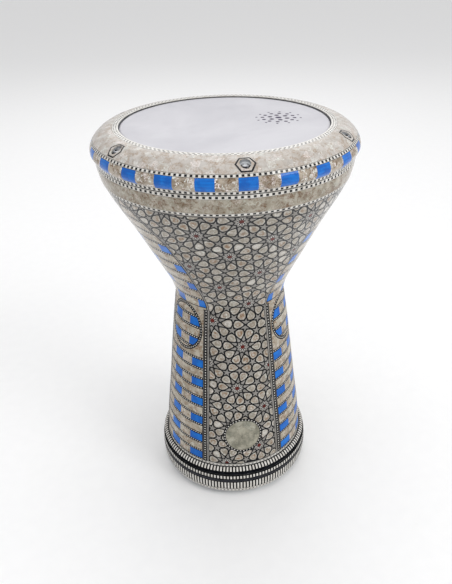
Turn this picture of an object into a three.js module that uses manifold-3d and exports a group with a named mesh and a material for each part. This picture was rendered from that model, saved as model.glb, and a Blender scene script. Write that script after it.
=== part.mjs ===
// Darbuka: a cast aluminium goblet drum with a bolted tension ring, a film head
// and a skin of inlaid mother-of-pearl sheets, beaded strings and foot bars.
// Millimetres, +Z up, origin at the centre of the foot's base. The front is -Y.
import * as THREE from 'three';
import { mergeVertices } from 'three/addons/utils/BufferGeometryUtils.js';
import Module from 'manifold-3d';

const wasm = await Module();
wasm.setup();

// ---------------------------------------------------------------- dimensions
const SEGMENTS = 36;
const STEP_DEG = 360 / SEGMENTS;
const SHEET = 1.1; // inlay thickness
const BED = 1.85; // inlay surface to the casting under it
const GAP = 0.3; // running gap between neighbouring pieces
const DEG = Math.PI / 180;

// Outer surface of the inlaid shell, [radius, height], foot junction to shoulder.
const SHELL_OUTLINE = [
  [89.3, 48.0], [86.1, 83.7], [81.1, 123.7], [73.1, 193.7], [68.8, 228.7],
  [65.9, 250.0], [65.0, 258.7], [65.8, 265.0], [69.8, 278.7], [77.5, 295.0],
  [86.8, 313.7], [106.7, 353.7], [128.0, 393.7], [132.6, 403.6],
];
const EXTRA_HEIGHTS = [333.7, 367.0, 380.4]; // more rows where the panel edges sweep
const SHOULDER_Z = 425.0;
const FLANGE_Z = 424.9;
const BEARING_R = 108.4;
const BEARING_Z = 452.6;

// Star panels sit at 0, 120 and 240 degrees, side panels between them.
const PANEL_PITCH = 120;
const STRING_AZ = 32.4; // azimuth of a stem string from its star panel's middle
const STRING_HALF = 1.9; // half of the string's width, degrees
const STRING_TOP_Z = 258.4; // just under the waist
// Edge of a star panel above the waist, [height, degrees from its middle].
const STAR_EDGE = [
  [265.0, 31.3], [278.7, 33.5], [295.0, 35.6], [313.7, 37.4],
  [353.7, 43.6], [393.7, 55.6], [403.6, 59.4],
];

const MEDALLION_Z = 91.5;
const MEDALLION_R = 21.3;
const MEDALLION_RIM_R = 24.5;

// Tension ring outline over the inlays, inner lip to lower edge.
const RING_BORE_R = 110.0;
const RING_TOP_Z = 455.0;
const RING_BOTTOM_Z = 427.0;
const RING_LEDGE_Z = 441.7;
const RING_SKIRT_R = 117.2;

const BOLT_COUNT = 6;
const BOLT_SIDES = 12;
const BOLT_CIRCLE_R = 128.4;
const BOLT_SHANK_R = 3.0;
const BOLT_HEAD_R = 4.9;
const BOLT_SEAT_Z = 443.4;
const BOLT_TIP_Z = 411.6;
const COUNTERBORE_R = 5.4;
const BEZEL_R = 129.5; // middle of a hexagonal bezel
const BEZEL_Z = 450.4;
const BEZEL_TILT = 34 * DEG;
const BEZEL_CORNER_R = 9.7;
const INSERT_R = 3.95;
const INSERT_BORE_R = 3.35;

// ------------------------------------------------------------------ finishes
const finish = (color, roughness, metalness) =>
  new THREE.MeshStandardMaterial({ color, roughness, metalness });
const PEARL = finish(0xc9bfae, 0.25, 0.0);
const STAR_PEARL = finish(0xb9b1a2, 0.25, 0.0);
const DISC_PEARL = finish(0xa9a593, 0.25, 0.0);
const STRING = finish(0x8d8c88, 0.3, 0.0);
const TILE = finish(0x6f97cf, 0.25, 0.0);
const BARS = finish(0x77756f, 0.3, 0.0);
const EBONY = finish(0x1b1b1c, 0.35, 0.0);
const CAST = finish(0xb4b6b8, 0.45, 0.9);
const FILM = finish(0xdcdce4, 0.4, 0.0);
const HOOP = finish(0xc3c6c9, 0.35, 0.9);
const CHROME = finish(0xd8d8d8, 0.12, 1.0);
const BRASS = finish(0xb08d4a, 0.35, 0.9);

// ------------------------------------------------------------------- helpers
const darbuka = new THREE.Group();

/** Adds one named piece to the group. */
function piece(name, geometry, material) {
  const mesh = new THREE.Mesh(geometry, material);
  mesh.name = name;
  darbuka.add(mesh);
  return mesh;
}

/** Revolves a closed [radius, height] loop about Z; the outer side runs upwards. */
function revolve(loop, segments = SEGMENTS) {
  const points = loop.map(([r, z]) => new THREE.Vector2(r, z));
  const onAxis = loop[0][0] === 0;
  if (!onAxis) points.push(points[0].clone());
  const geometry = new THREE.LatheGeometry(points, segments);
  geometry.rotateX(Math.PI / 2);
  return geometry;
}

/** Radius at a height on an outline of [radius, height] points. */
function radiusAt(outline, z) {
  if (z <= outline[0][1]) return outline[0][0];
  for (let i = 1; i < outline.length; i += 1) {
    const [r0, z0] = outline[i - 1];
    const [r1, z1] = outline[i];
    if (z <= z1) return r0 + ((r1 - r0) * (z - z0)) / (z1 - z0);
  }
  return outline[outline.length - 1][0];
}

/** Ring of even thickness under an outline that runs upwards. */
function bandUnder(outline, thickness = SHEET) {
  const inner = outline.map(([r, z]) => [r - thickness, z]).reverse();
  return revolve([...outline, ...inner]);
}

/** Ring of even thickness, measured square to an outline that runs upwards. */
function skinUnder(outline, thickness = SHEET) {
  return revolve([...outline, ...offsetLine(outline, thickness).reverse()]);
}

/** Moves an outline inwards, square to itself. */
function offsetLine(outline, distance) {
  return outline.map(([r, z], i) => {
    const [ra, za] = outline[Math.max(0, i - 1)];
    const [rb, zb] = outline[Math.min(outline.length - 1, i + 1)];
    const length = Math.hypot(rb - ra, zb - za);
    return [r - (distance * (zb - za)) / length, z + (distance * (rb - ra)) / length];
  });
}

/** Point on the drum: azimuth 0 faces -Y and grows towards +X. */
function onDrum(radius, azimuthDeg, z) {
  const a = azimuthDeg * DEG;
  return [radius * Math.sin(a), -radius * Math.cos(a), z];
}

/** Curved sheet between two azimuth edges, as one closed body. */
function sheet(heights, edgeLow, edgeHigh, thickness = SHEET) {
  const widest = Math.max(...heights.map((z) => edgeHigh(z) - edgeLow(z)));
  const columns = Math.max(1, Math.ceil(widest / STEP_DEG));
  const rows = heights.length;
  const position = [];
  for (const depth of [0, thickness]) {
    for (const z of heights) {
      const r = radiusAt(SHELL_OUTLINE, z) - depth;
      for (let j = 0; j <= columns; j += 1) {
        const t = j / columns;
        position.push(...onDrum(r, edgeLow(z) * (1 - t) + edgeHigh(z) * t, z));
      }
    }
  }
  const at = (layer, i, j) => (layer * rows + i) * (columns + 1) + j;
  const index = [];
  const quad = (a, b, c, d) => index.push(a, b, c, a, c, d);
  for (let i = 0; i < rows - 1; i += 1) {
    for (let j = 0; j < columns; j += 1) {
      quad(at(0, i, j), at(0, i, j + 1), at(0, i + 1, j + 1), at(0, i + 1, j));
      quad(at(1, i, j), at(1, i + 1, j), at(1, i + 1, j + 1), at(1, i, j + 1));
    }
    quad(at(0, i, 0), at(0, i + 1, 0), at(1, i + 1, 0), at(1, i, 0));
    quad(at(0, i, columns), at(1, i, columns), at(1, i + 1, columns), at(0, i + 1, columns));
  }
  const top = rows - 1;
  for (let j = 0; j < columns; j += 1) {
    quad(at(0, 0, j), at(1, 0, j), at(1, 0, j + 1), at(0, 0, j + 1));
    quad(at(0, top, j), at(0, top, j + 1), at(1, top, j + 1), at(1, top, j));
  }
  const geometry = new THREE.BufferGeometry();
  geometry.setAttribute('position', new THREE.Float32BufferAttribute(position, 3));
  geometry.setIndex(index);
  return geometry;
}

/** Closed geometry to a manifold solid. */
function solid(geometry) {
  const bare = geometry.clone();
  bare.deleteAttribute('normal');
  bare.deleteAttribute('uv');
  const merged = mergeVertices(bare, 1e-4);
  return new wasm.Manifold(
    new wasm.Mesh({
      numProp: 3,
      vertProperties: new Float32Array(merged.attributes.position.array),
      triVerts: new Uint32Array(merged.index.array),
    }),
  );
}

/** Manifold solid back to a geometry. */
function geometryOf(body) {
  const mesh = body.getMesh();
  const geometry = new THREE.BufferGeometry();
  geometry.setAttribute(
    'position',
    new THREE.Float32BufferAttribute(Float32Array.from(mesh.vertProperties), 3),
  );
  geometry.setIndex(Array.from(mesh.triVerts));
  geometry.computeVertexNormals();
  return geometry;
}

/** Upright rod on the bolt circle. */
function boltRod(radius, zLow, zHigh, azimuthDeg, sides = BOLT_SIDES) {
  const geometry = new THREE.CylinderGeometry(radius, radius, zHigh - zLow, sides);
  geometry.rotateX(Math.PI / 2);
  const [x, y] = onDrum(BOLT_CIRCLE_R, azimuthDeg, 0);
  geometry.translate(x, y, (zLow + zHigh) / 2);
  return geometry;
}

/** Hexagonal prism square to the ring's sloping top, points facing sideways. */
function bezelPrism(cornerRadius, azimuthDeg) {
  const geometry = new THREE.CylinderGeometry(cornerRadius, cornerRadius, 24, 6);
  geometry.rotateX(Math.PI / 2);
  geometry.rotateZ(Math.PI / 2);
  geometry.rotateX(BEZEL_TILT);
  geometry.translate(0, -BEZEL_R, BEZEL_Z);
  geometry.rotateZ(azimuthDeg * DEG);
  return geometry;
}

/** Upright bar through the front of the shell, for cutting the medallion. */
function medallionRod(radius, sides = 24) {
  const geometry = new THREE.CylinderGeometry(radius, radius, 40, sides);
  geometry.translate(0, -85, MEDALLION_Z);
  return geometry;
}

const boltAzimuths = Array.from({ length: BOLT_COUNT }, (_, k) => (k * 360) / BOLT_COUNT);

// ------------------------------------------------------------- shell casting
const castingOuter = [
  [88.4, 0], [92.0, 3.4], [92.8, 6.2], [94.9, 12.0], [95.6, 17.0], [94.6, 35.2],
  [91.8, 35.8], [91.8, 40.6], [87.6, 44.6],
  ...SHELL_OUTLINE.map(([r, z]) => [r - BED, z]),
  [135.2, 418.7], [135.4, FLANGE_Z],
];
const bearingEdge = [
  [BEARING_R, FLANGE_Z], [BEARING_R, 451.2], [107.4, BEARING_Z],
  [105.4, BEARING_Z], [103.6, 450.8],
];
const castingInner = [
  [103.6, 426.0], [118.4, 401.0], [99.0, 353.7], [79.0, 313.7], [70.0, 295.0],
  [59.6, 267.0], [58.4, 256.0], [66.6, 193.7], [79.6, 83.7], [82.0, 46.0], [82.6, 0],
];
let casting = solid(revolve([...castingOuter, ...bearingEdge, ...castingInner]));
for (const azimuth of boltAzimuths) {
  casting = casting
    .subtract(solid(boltRod(INSERT_R + GAP, 413.0, FLANGE_Z + 5, azimuth)))
    .subtract(solid(boltRod(BOLT_SHANK_R + 0.4, 409.5, FLANGE_Z, azimuth)));
}
piece('shell_casting', geometryOf(casting), CAST);

// ------------------------------------------------------------- inlaid panels
const edgeAbove = (z) => radiusAt(STAR_EDGE.map(([h, a]) => [a, h]), z);
const starEdge = (z) =>
  (z > STRING_TOP_Z + 1 ? edgeAbove(z) - 0.2 : STRING_AZ - STRING_HALF - 0.3);
const sideEdge = (z) =>
  (z > STRING_TOP_Z + 1 ? edgeAbove(z) + 0.2 : STRING_AZ + STRING_HALF + 0.3);
const panelHeights = SHELL_OUTLINE.map(([, z]) => z)
  .concat(EXTRA_HEIGHTS)
  .sort((a, b) => a - b);
const sideHeights = panelHeights.filter((z) => z < 400);
const stringHeights = panelHeights.filter((z) => z < STRING_TOP_Z).concat(STRING_TOP_Z);

const starNames = ['star_panel_front', 'star_panel_right_rear', 'star_panel_left_rear'];
const sideNames = ['side_panel_right', 'side_panel_rear', 'side_panel_left'];
starNames.forEach((name, k) => {
  const middle = k * PANEL_PITCH;
  const star = sheet(panelHeights, (z) => middle - starEdge(z), (z) => middle + starEdge(z));
  if (k > 0) {
    piece(name, star, STAR_PEARL);
    return;
  }
  const full = solid(star);
  const disc = solid(medallionRod(MEDALLION_R));
  const front = full.subtract(solid(medallionRod(MEDALLION_RIM_R + GAP)));
  const rim = full
    .intersect(solid(medallionRod(MEDALLION_RIM_R)))
    .subtract(solid(medallionRod(MEDALLION_R + GAP)));
  piece(name, geometryOf(front), STAR_PEARL);
  piece('medallion_string', geometryOf(rim), STRING);
  piece('medallion_disc', geometryOf(full.intersect(disc)), DISC_PEARL);
});
sideNames.forEach((name, k) => {
  const middle = k * PANEL_PITCH;
  const side = sheet(
    sideHeights,
    (z) => middle + sideEdge(z),
    (z) => middle + PANEL_PITCH - sideEdge(z),
  );
  piece(name, side, PEARL);
});
for (let k = 0; k < 3; k += 1) {
  [-1, 1].forEach((hand) => {
    const azimuth = k * PANEL_PITCH + hand * STRING_AZ;
    const edge = ['front', 'right_rear', 'left_rear'][k];
    const name = `stem_string_${edge}_${hand < 0 ? 'left' : 'right'}`;
    const strip = sheet(
      stringHeights,
      () => azimuth - STRING_HALF,
      () => azimuth + STRING_HALF,
    );
    piece(name, strip, STRING);
  });
}

// ------------------------------------------------------------ shoulder bands
piece('shoulder_lower_string', bandUnder([[132.9, 404.0], [133.8, 406.4]]), STRING);
piece('shoulder_band', bandUnder([[134.0, 406.8], [136.6, 418.7], [137.0, 421.4]]), PEARL);
piece('shoulder_upper_string', bandUnder([[137.1, 421.8], [137.1, SHOULDER_Z]]), STRING);

// ------------------------------------------------------------------ the foot
piece('foot_string', bandUnder([[89.6, 45.5], [89.4, 47.7]]), STRING);
piece('foot_bars_upper', revolve([[94.5, 40.0], [95.3, 40.9], [90.7, 45.2], [89.9, 44.4]]), BARS);
piece('foot_bars_middle', bandUnder([[96.8, 29.1], [96.3, 35.1]]), BARS);
piece('foot_ebony_band', bandUnder([[97.0, 24.9], [96.9, 28.7]]), EBONY);
piece('foot_bars_lower', bandUnder([[96.7, 12.3], [97.3, 17.5], [97.1, 24.5]]), BARS);
piece('foot_edge_beading', bandUnder([[94.7, 6.6], [96.5, 11.9]]), STRING);

// ------------------------------------------------- head: film and flesh hoop
piece(
  'head_film',
  revolve([
    [0, 453.05], [107.5, 453.05], [108.7, 451.6], [108.8, 437.0], [109.2, 437.0],
    [109.2, 451.8], [107.8, 453.4], [0, 453.4],
  ]),
  FILM,
);
piece(
  'head_flesh_hoop',
  revolve([[109.6, 435.8], [116.4, 435.8], [116.4, 441.3], [109.6, 441.3]]),
  HOOP,
);

// -------------------------------------------------------------- tension ring
// Each outline runs upwards, so the ring's top reads from the rim to the bore.
const LOWER_STRING = [[137.7, 426.3], [138.6, 429.2]];
const TILE_BAND = [[138.8, 429.6], [141.1, 433.2], [140.8, 438.0], [138.9, 441.9]];
const UPPER_STRING = [[138.7, 442.3], [137.0, 444.5]];
const TOP_SHEET = [[136.7, 444.9], [132.0, 449.2], [125.5, 452.8], [116.4, 454.8]];
const INNER_STRING = [[116.1, 454.85], [110.6, RING_TOP_Z]];
const castRingOutline = [
  [134.2, RING_BOTTOM_Z], [137.0, 429.6], [139.2, 433.3], [139.0, 437.6], [137.2, 441.1],
  [135.3, 443.6], [131.0, 447.5], [124.9, 450.9], [116.0, 453.1], [RING_BORE_R, 453.3],
];
let ring = solid(
  revolve([
    [RING_SKIRT_R, RING_BOTTOM_Z],
    ...castRingOutline,
    [RING_BORE_R, RING_LEDGE_Z],
    [RING_SKIRT_R, RING_LEDGE_Z],
  ]),
);
for (const azimuth of boltAzimuths) {
  ring = ring
    .subtract(solid(boltRod(COUNTERBORE_R, BOLT_SEAT_Z, RING_TOP_Z + 5, azimuth)))
    .subtract(solid(boltRod(BOLT_SHANK_R + 0.5, RING_BOTTOM_Z - 5, BOLT_SEAT_Z + 2, azimuth)));
}
piece('tension_ring', geometryOf(ring), CAST);
piece('ring_lower_string', skinUnder(LOWER_STRING), STRING);
piece('ring_tile_band', skinUnder(TILE_BAND), TILE);
piece('ring_upper_string', skinUnder(UPPER_STRING), STRING);
piece('ring_inner_string', skinUnder(INNER_STRING), STRING);

const topSheet = solid(skinUnder(TOP_SHEET));
let topInlay = topSheet;
boltAzimuths.forEach((azimuth, k) => {
  topInlay = topInlay.subtract(solid(bezelPrism(BEZEL_CORNER_R + GAP, azimuth)));
  const bezel = topSheet
    .intersect(solid(bezelPrism(BEZEL_CORNER_R, azimuth)))
    .subtract(solid(boltRod(COUNTERBORE_R, BOLT_SEAT_Z, RING_TOP_Z + 5, azimuth)));
  piece(`bolt_bezel_${k + 1}`, geometryOf(bezel), PEARL);
});
piece('ring_top_inlay', geometryOf(topInlay), PEARL);

// --------------------------------------------- tension bolts and their nuts
const boltLoop = [
  [0, BOLT_TIP_Z], [2.2, BOLT_TIP_Z], [BOLT_SHANK_R, BOLT_TIP_Z + 1],
  [BOLT_SHANK_R, BOLT_SEAT_Z + GAP], [BOLT_HEAD_R, BOLT_SEAT_Z + GAP],
  [BOLT_HEAD_R, 447.8], [4.3, 449.2], [2.9, 450.0], [0, 450.2],
];
const socket = new THREE.CylinderGeometry(2.3, 2.3, 6, 6);
socket.rotateX(Math.PI / 2);
socket.translate(0, 0, 447.6 + 3);
const boltBody = geometryOf(solid(revolve(boltLoop, BOLT_SIDES)).subtract(solid(socket)));
const insertLoop = [
  [INSERT_BORE_R, 413.3], [INSERT_R, 413.3], [INSERT_R, 424.6], [INSERT_BORE_R, 424.6],
];
boltAzimuths.forEach((azimuth, k) => {
  const [x, y] = onDrum(BOLT_CIRCLE_R, azimuth, 0);
  piece(`tension_bolt_${k + 1}`, boltBody.clone().translate(x, y, 0), CHROME);
  piece(`bolt_insert_${k + 1}`, revolve(insertLoop, BOLT_SIDES).translate(x, y, 0), BRASS);
});

export default darbuka;
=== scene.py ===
"""Looks of a bolt-tuned darbuka inlaid with pearl stars, blue tiles and beaded strings.

Sizes are in millimetres in the drum's own frame: the origin is the middle of the foot's
base, Z is up and the front of the drum faces -Y. Azimuth 0 is the front and grows
towards +X.
"""

import logging
import math
from collections.abc import Callable, Iterator, Sequence
from dataclasses import dataclass, field
from enum import Enum
from random import Random

import bmesh
import bpy
import numpy as np
from mathutils import Euler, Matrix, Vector
from mathutils.geometry import delaunay_2d_cdt


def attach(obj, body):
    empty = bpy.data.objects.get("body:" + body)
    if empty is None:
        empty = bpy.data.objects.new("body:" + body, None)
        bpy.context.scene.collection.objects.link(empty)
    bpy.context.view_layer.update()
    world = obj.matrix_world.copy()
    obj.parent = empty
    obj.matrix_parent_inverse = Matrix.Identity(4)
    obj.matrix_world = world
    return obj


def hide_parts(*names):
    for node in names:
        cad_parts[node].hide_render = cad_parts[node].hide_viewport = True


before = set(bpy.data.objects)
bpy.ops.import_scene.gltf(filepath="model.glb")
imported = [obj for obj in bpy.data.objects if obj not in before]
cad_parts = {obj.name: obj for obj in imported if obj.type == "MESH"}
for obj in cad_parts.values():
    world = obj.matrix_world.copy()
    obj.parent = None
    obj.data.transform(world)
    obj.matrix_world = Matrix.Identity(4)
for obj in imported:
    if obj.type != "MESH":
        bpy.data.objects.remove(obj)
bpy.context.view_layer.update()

LOG = logging.getLogger("darbuka")
MM = 0.001
TURN = 360.0
ROUND = 180  # Sides of a turned form.
HOLE = 32  # Sides of a bolt's hole.
SAMPLE_STEP = 0.4  # Distance between the samples of an outline.
SHARP_ANGLE = 32.0  # Degrees from which an edge stays sharp.

Point = tuple[float, float]
Loop = list[Point]
Profile = tuple[Point, ...]
Colour = tuple[float, float, float]
Socket = bpy.types.NodeSocket
Piece = bpy.types.Object


# ---------------------------- shader tools
def linear(red: int, green: int, blue: int) -> Colour:
    """Turns a paint chip's 0-255 display values into the shader's linear ones.

    Args:
        red: Red, 0 to 255.
        green: Green, 0 to 255.
        blue: Blue, 0 to 255.

    Returns:
        The linear colour.
    """
    def channel(value: int) -> float:
        """One channel of the conversion."""
        share = value / 255
        return share / 12.92 if share <= 0.04045 else ((share + 0.055) / 1.055) ** 2.4

    return channel(red), channel(green), channel(blue)


class Wiring:
    """A node tree with short ways to add and join its nodes."""

    def __init__(self, tree: bpy.types.NodeTree) -> None:
        """Starts on an empty tree.

        Args:
            tree: The material's or group's node tree.
        """
        self.tree = tree
        tree.nodes.clear()
        self.column = 0

    def node(self, kind: str, **settings: object) -> bpy.types.Node:
        """Adds a node and sets its properties.

        Args:
            kind: Blender's name of the node type.
            settings: Property names and values.

        Returns:
            The new node.
        """
        made = self.tree.nodes.new(kind)
        made.location = (self.column * 180, 0)
        self.column += 1
        for name, value in settings.items():
            setattr(made, name, value)
        return made

    def join(self, source: Socket, target: Socket) -> None:
        """Links an output socket to an input socket."""
        self.tree.links.new(source, target)

    def feed(self, target: Socket, value: object) -> None:
        """Links or sets one input.

        Args:
            target: The input socket.
            value: A socket to link, or a number, triple or colour to set.
        """
        if isinstance(value, Socket):
            self.join(value, target)
        elif isinstance(value, tuple) and target.type == "RGBA":
            target.default_value = (*value[:3], 1.0)
        else:
            target.default_value = value

    def fill(self, node: bpy.types.Node, values: dict[str, object]) -> None:
        """Links or sets inputs of a node by name."""
        for label, value in values.items():
            self.feed(node.inputs[label], value)

    def blend(self, share: object, low: object, high: object,
              mode: str = "MIX") -> Socket:
        """Mixes two colours.

        Args:
            share: How much of the second colour, a socket or a number.
            low: First colour.
            high: Second colour.
            mode: Blender's blend type.

        Returns:
            The mixed colour's socket.
        """
        mix = self.node("ShaderNodeMix", data_type="RGBA", blend_type=mode)
        self.feed(mix.inputs[0], share)
        self.feed(mix.inputs[6], low)
        self.feed(mix.inputs[7], high)
        return mix.outputs[2]

    def sum(self, kind: str, first: object, second: object) -> Socket:
        """Does arithmetic on two values and keeps the answer between 0 and 1.

        Args:
            kind: Blender's name of the operation.
            first: Socket or number.
            second: Socket or number.

        Returns:
            The answer's socket.
        """
        node = self.node("ShaderNodeMath", operation=kind, use_clamp=True)
        self.feed(node.inputs[0], first)
        self.feed(node.inputs[1], second)
        return node.outputs[0]

    def span(self, value: object, low: float, high: float,
             to_low: float = 0.0, to_high: float = 1.0) -> Socket:
        """Stretches a range of values onto another, clamped and smooth.

        Args:
            value: Socket to read.
            low: Start of the range read.
            high: End of the range read.
            to_low: Value given at the start.
            to_high: Value given at the end.

        Returns:
            The stretched value's socket.
        """
        node = self.node("ShaderNodeMapRange", interpolation_type="SMOOTHSTEP")
        for socket, given in zip(node.inputs, (value, low, high, to_low, to_high)):
            self.feed(socket, given)
        return node.outputs[0]

    def place(self, kind: str = "Object") -> Socket:
        """Gives the texture coordinate of a kind."""
        return self.node("ShaderNodeTexCoord").outputs[kind]

    def noise(self, place: object, scale: object, detail: float = 3.0,
              rough: float = 0.55, bend: float = 0.0) -> bpy.types.Node:
        """Adds a noise texture.

        Args:
            place: Socket with the place read.
            scale: Cells per metre, or a socket with them.
            detail: Octaves.
            rough: How strong the fine octaves are.
            bend: Distortion.

        Returns:
            The noise node.
        """
        node = self.node("ShaderNodeTexNoise")
        self.fill(node, {"Vector": place, "Scale": scale, "Detail": detail,
                         "Roughness": rough, "Distortion": bend})
        return node


def new_group(name: str, takes: dict[str, tuple[str, object]],
              gives: dict[str, str]) -> tuple[bpy.types.NodeTree, Wiring, bpy.types.Node,
                                              bpy.types.Node]:
    """Makes a shader node group with named sockets.

    Args:
        name: The group's name.
        takes: Input names with their socket type and default value.
        gives: Output names with their socket type.

    Returns:
        The group, its wiring, its input node and its output node.
    """
    tree = bpy.data.node_groups.new(name, "ShaderNodeTree")
    for label, (kind, value) in takes.items():
        socket = tree.interface.new_socket(label, in_out="INPUT", socket_type=kind)
        socket.default_value = (*value, 1.0) if kind == "NodeSocketColor" else value
    for label, kind in gives.items():
        tree.interface.new_socket(label, in_out="OUTPUT", socket_type=kind)
    wiring = Wiring(tree)
    return (tree, wiring, wiring.node("NodeGroupInput"), wiring.node("NodeGroupOutput"))


FLOAT, COLOUR = "NodeSocketFloat", "NodeSocketColor"


class EffectShelf:
    """The node groups that several finishes share, each built once."""

    def __init__(self) -> None:
        """Builds every group."""
        self.shell_figure = self._shell_figure()
        self.lacquer = self._lacquer()
        self.drift = self._drift()

    @staticmethod
    def _shell_figure() -> bpy.types.NodeTree:
        """Chips of shell with cloudy ground, brown flecks, pale glints and fine joints.

        Returns:
            The node group.
        """
        tree, w, takes, gives = new_group(
            "Shell Figure",
            {"Ground": (COLOUR, (0.6, 0.55, 0.48)), "Cloud": (COLOUR, (0.5, 0.46, 0.4)),
             "Fleck": (COLOUR, (0.3, 0.2, 0.12)), "Glint": (COLOUR, (0.9, 0.9, 0.88)),
             "Chips": (FLOAT, 260.0), "Fleck Share": (FLOAT, 0.4),
             "Glint Share": (FLOAT, 0.3)},
            {"Colour": COLOUR, "Glint": FLOAT, "Height": FLOAT},
        )
        place = w.place()
        warp = w.noise(place, 180.0, 2.0)
        nudge = w.node("ShaderNodeVectorMath", operation="SCALE")
        w.join(warp.outputs["Color"], nudge.inputs[0])
        nudge.inputs["Scale"].default_value = 0.004
        moved = w.node("ShaderNodeVectorMath", operation="ADD")
        w.join(place, moved.inputs[0])
        w.join(nudge.outputs[0], moved.inputs[1])
        chips = w.node("ShaderNodeTexVoronoi", feature="F1")
        joints = w.node("ShaderNodeTexVoronoi", feature="DISTANCE_TO_EDGE")
        for node in (chips, joints):
            w.join(moved.outputs[0], node.inputs["Vector"])
            w.join(takes.outputs["Chips"], node.inputs["Scale"])
        chance = w.node("ShaderNodeSeparateColor")
        w.join(chips.outputs["Color"], chance.inputs[0])
        cloud = w.span(w.noise(place, 95.0, 4.0).outputs[0], 0.38, 0.66)
        ground = w.blend(cloud, takes.outputs["Ground"], takes.outputs["Cloud"])
        patch = w.noise(moved.outputs[0], 150.0, 5.0, 0.7, 0.6)
        grit = w.noise(moved.outputs[0], 620.0, 4.0, 0.7, 0.8)
        fleck = w.sum("MULTIPLY", w.span(patch.outputs[0], 0.46, 0.58),
                      w.span(grit.outputs[0], 0.4, 0.54))
        fleck = w.sum("MULTIPLY", fleck, takes.outputs["Fleck Share"])
        glow = w.sum("MULTIPLY", w.span(chance.outputs[0], 0.4, 0.85),
                     w.span(w.noise(moved.outputs[0], 480.0, 3.0, 0.6, 1.6).outputs[0],
                            0.46, 0.58))
        glow = w.sum("MULTIPLY", glow, takes.outputs["Glint Share"])
        colour = w.blend(fleck, ground, takes.outputs["Fleck"])
        hue = w.blend(w.span(chance.outputs[1], 0.2, 0.8), (1.0, 0.93, 0.93),
                      (0.93, 1.0, 0.97))
        shine = w.blend(1.0, takes.outputs["Glint"], hue, "MULTIPLY")
        colour = w.blend(glow, colour, shine)
        edge = w.span(joints.outputs["Distance"], 0.0, 0.06, 0.86, 1.0)
        shade = w.node("ShaderNodeCombineColor")
        tone = w.sum("MULTIPLY", edge, w.span(chance.outputs[2], 0.0, 1.0, 0.9, 1.0))
        for socket in shade.inputs:
            w.join(tone, socket)
        w.join(w.blend(1.0, colour, shade.outputs[0], "MULTIPLY"), gives.inputs["Colour"])
        w.join(glow, gives.inputs["Glint"])
        w.join(w.sum("MULTIPLY", edge, patch.outputs[0]), gives.inputs["Height"])
        return tree

    @staticmethod
    def _lacquer() -> bpy.types.NodeTree:
        """Rubbed lacquer: roughness with smears and hairlines, and a faint peel.

        Returns:
            The node group.
        """
        tree, w, takes, gives = new_group(
            "Rubbed Lacquer",
            {"Roughness": (FLOAT, 0.25), "Wear": (FLOAT, 0.12)},
            {"Roughness": FLOAT, "Height": FLOAT},
        )
        place = w.place()
        smear = w.noise(place, 38.0, 4.0, 0.6, 0.8)
        hair = w.noise(place, 900.0, 2.0, 0.5, 3.0)
        spread = w.sum("MULTIPLY", w.span(smear.outputs[0], 0.35, 0.7),
                       takes.outputs["Wear"])
        fine = w.sum("MULTIPLY", w.span(hair.outputs[0], 0.6, 0.75, 0.0, 0.3),
                     takes.outputs["Wear"])
        total = w.sum("ADD", takes.outputs["Roughness"], w.sum("ADD", spread, fine))
        w.join(total, gives.inputs["Roughness"])
        w.join(w.noise(place, 240.0, 2.0, 0.4).outputs[0], gives.inputs["Height"])
        return tree

    @staticmethod
    def _drift() -> bpy.types.NodeTree:
        """Slow colour drift between two shades, with a little grain and each piece's tone.

        Returns:
            The node group.
        """
        tree, w, takes, gives = new_group(
            "Colour Drift",
            {"Shade": (COLOUR, (0.5, 0.5, 0.5)), "Other": (COLOUR, (0.4, 0.4, 0.4)),
             "Size": (FLOAT, 60.0), "Grain": (FLOAT, 0.2), "By Piece": (FLOAT, 0.0)},
            {"Colour": COLOUR, "Height": FLOAT},
        )
        place = w.place()
        slow = w.noise(place, takes.outputs["Size"], 4.0, 0.6, 0.5)
        fine = w.noise(place, 1400.0, 2.0, 0.6)
        tone = w.node("ShaderNodeAttribute", attribute_name="tone")
        share = w.sum("ADD", w.span(slow.outputs[0], 0.35, 0.68),
                      w.sum("MULTIPLY", fine.outputs[0], takes.outputs["Grain"]))
        share = w.sum("ADD", share,
                      w.sum("MULTIPLY", tone.outputs["Fac"], takes.outputs["By Piece"]))
        w.join(w.blend(share, takes.outputs["Shade"], takes.outputs["Other"]),
               gives.inputs["Colour"])
        w.join(fine.outputs[0], gives.inputs["Height"])
        return tree


class Finish(Enum):
    """Every finish a face of the drum can have."""

    LINE = "black inlay line"
    GROUND = "plain shell ground"
    PETAL = "rosette petal"
    RED = "rosette heart"
    PEARL = "pearl mosaic"
    TOP_PEARL = "ring top pearl mosaic"
    # Pearl mosaic darkened to paint in the shade that the tension ring casts.
    PAINTED_SHADE_PEARL = "smoky pearl mosaic"
    BRIGHT_PEARL = "bright pearl mosaic"
    DISC = "green shell disc"
    BLUE = "blue tile"
    BONE = "white bead"
    JET = "black bead"
    EBONY = "ebony band"
    CAST = "cast aluminium"
    CHROME = "polished bolt steel"
    HOOP = "hoop wire"
    BRASS = "insert brass"
    FILM = "drum film"
    INK = "printed ink"


# Heights in metres between which the lacquer goes from thin to thick.
COAT_RISE = (0.262, 0.27)
THIN_COAT, THICK_COAT = 0.25, 0.8  # Share of a recipe's coat below and above them.
FULL_COAT = 0.5  # Coats over this thin out downwards.
COAT_ROUGHNESS = 0.06
COAT_IOR = 1.42
BUMP_DEPTH = 0.0004
SPECULAR = 0.1


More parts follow.
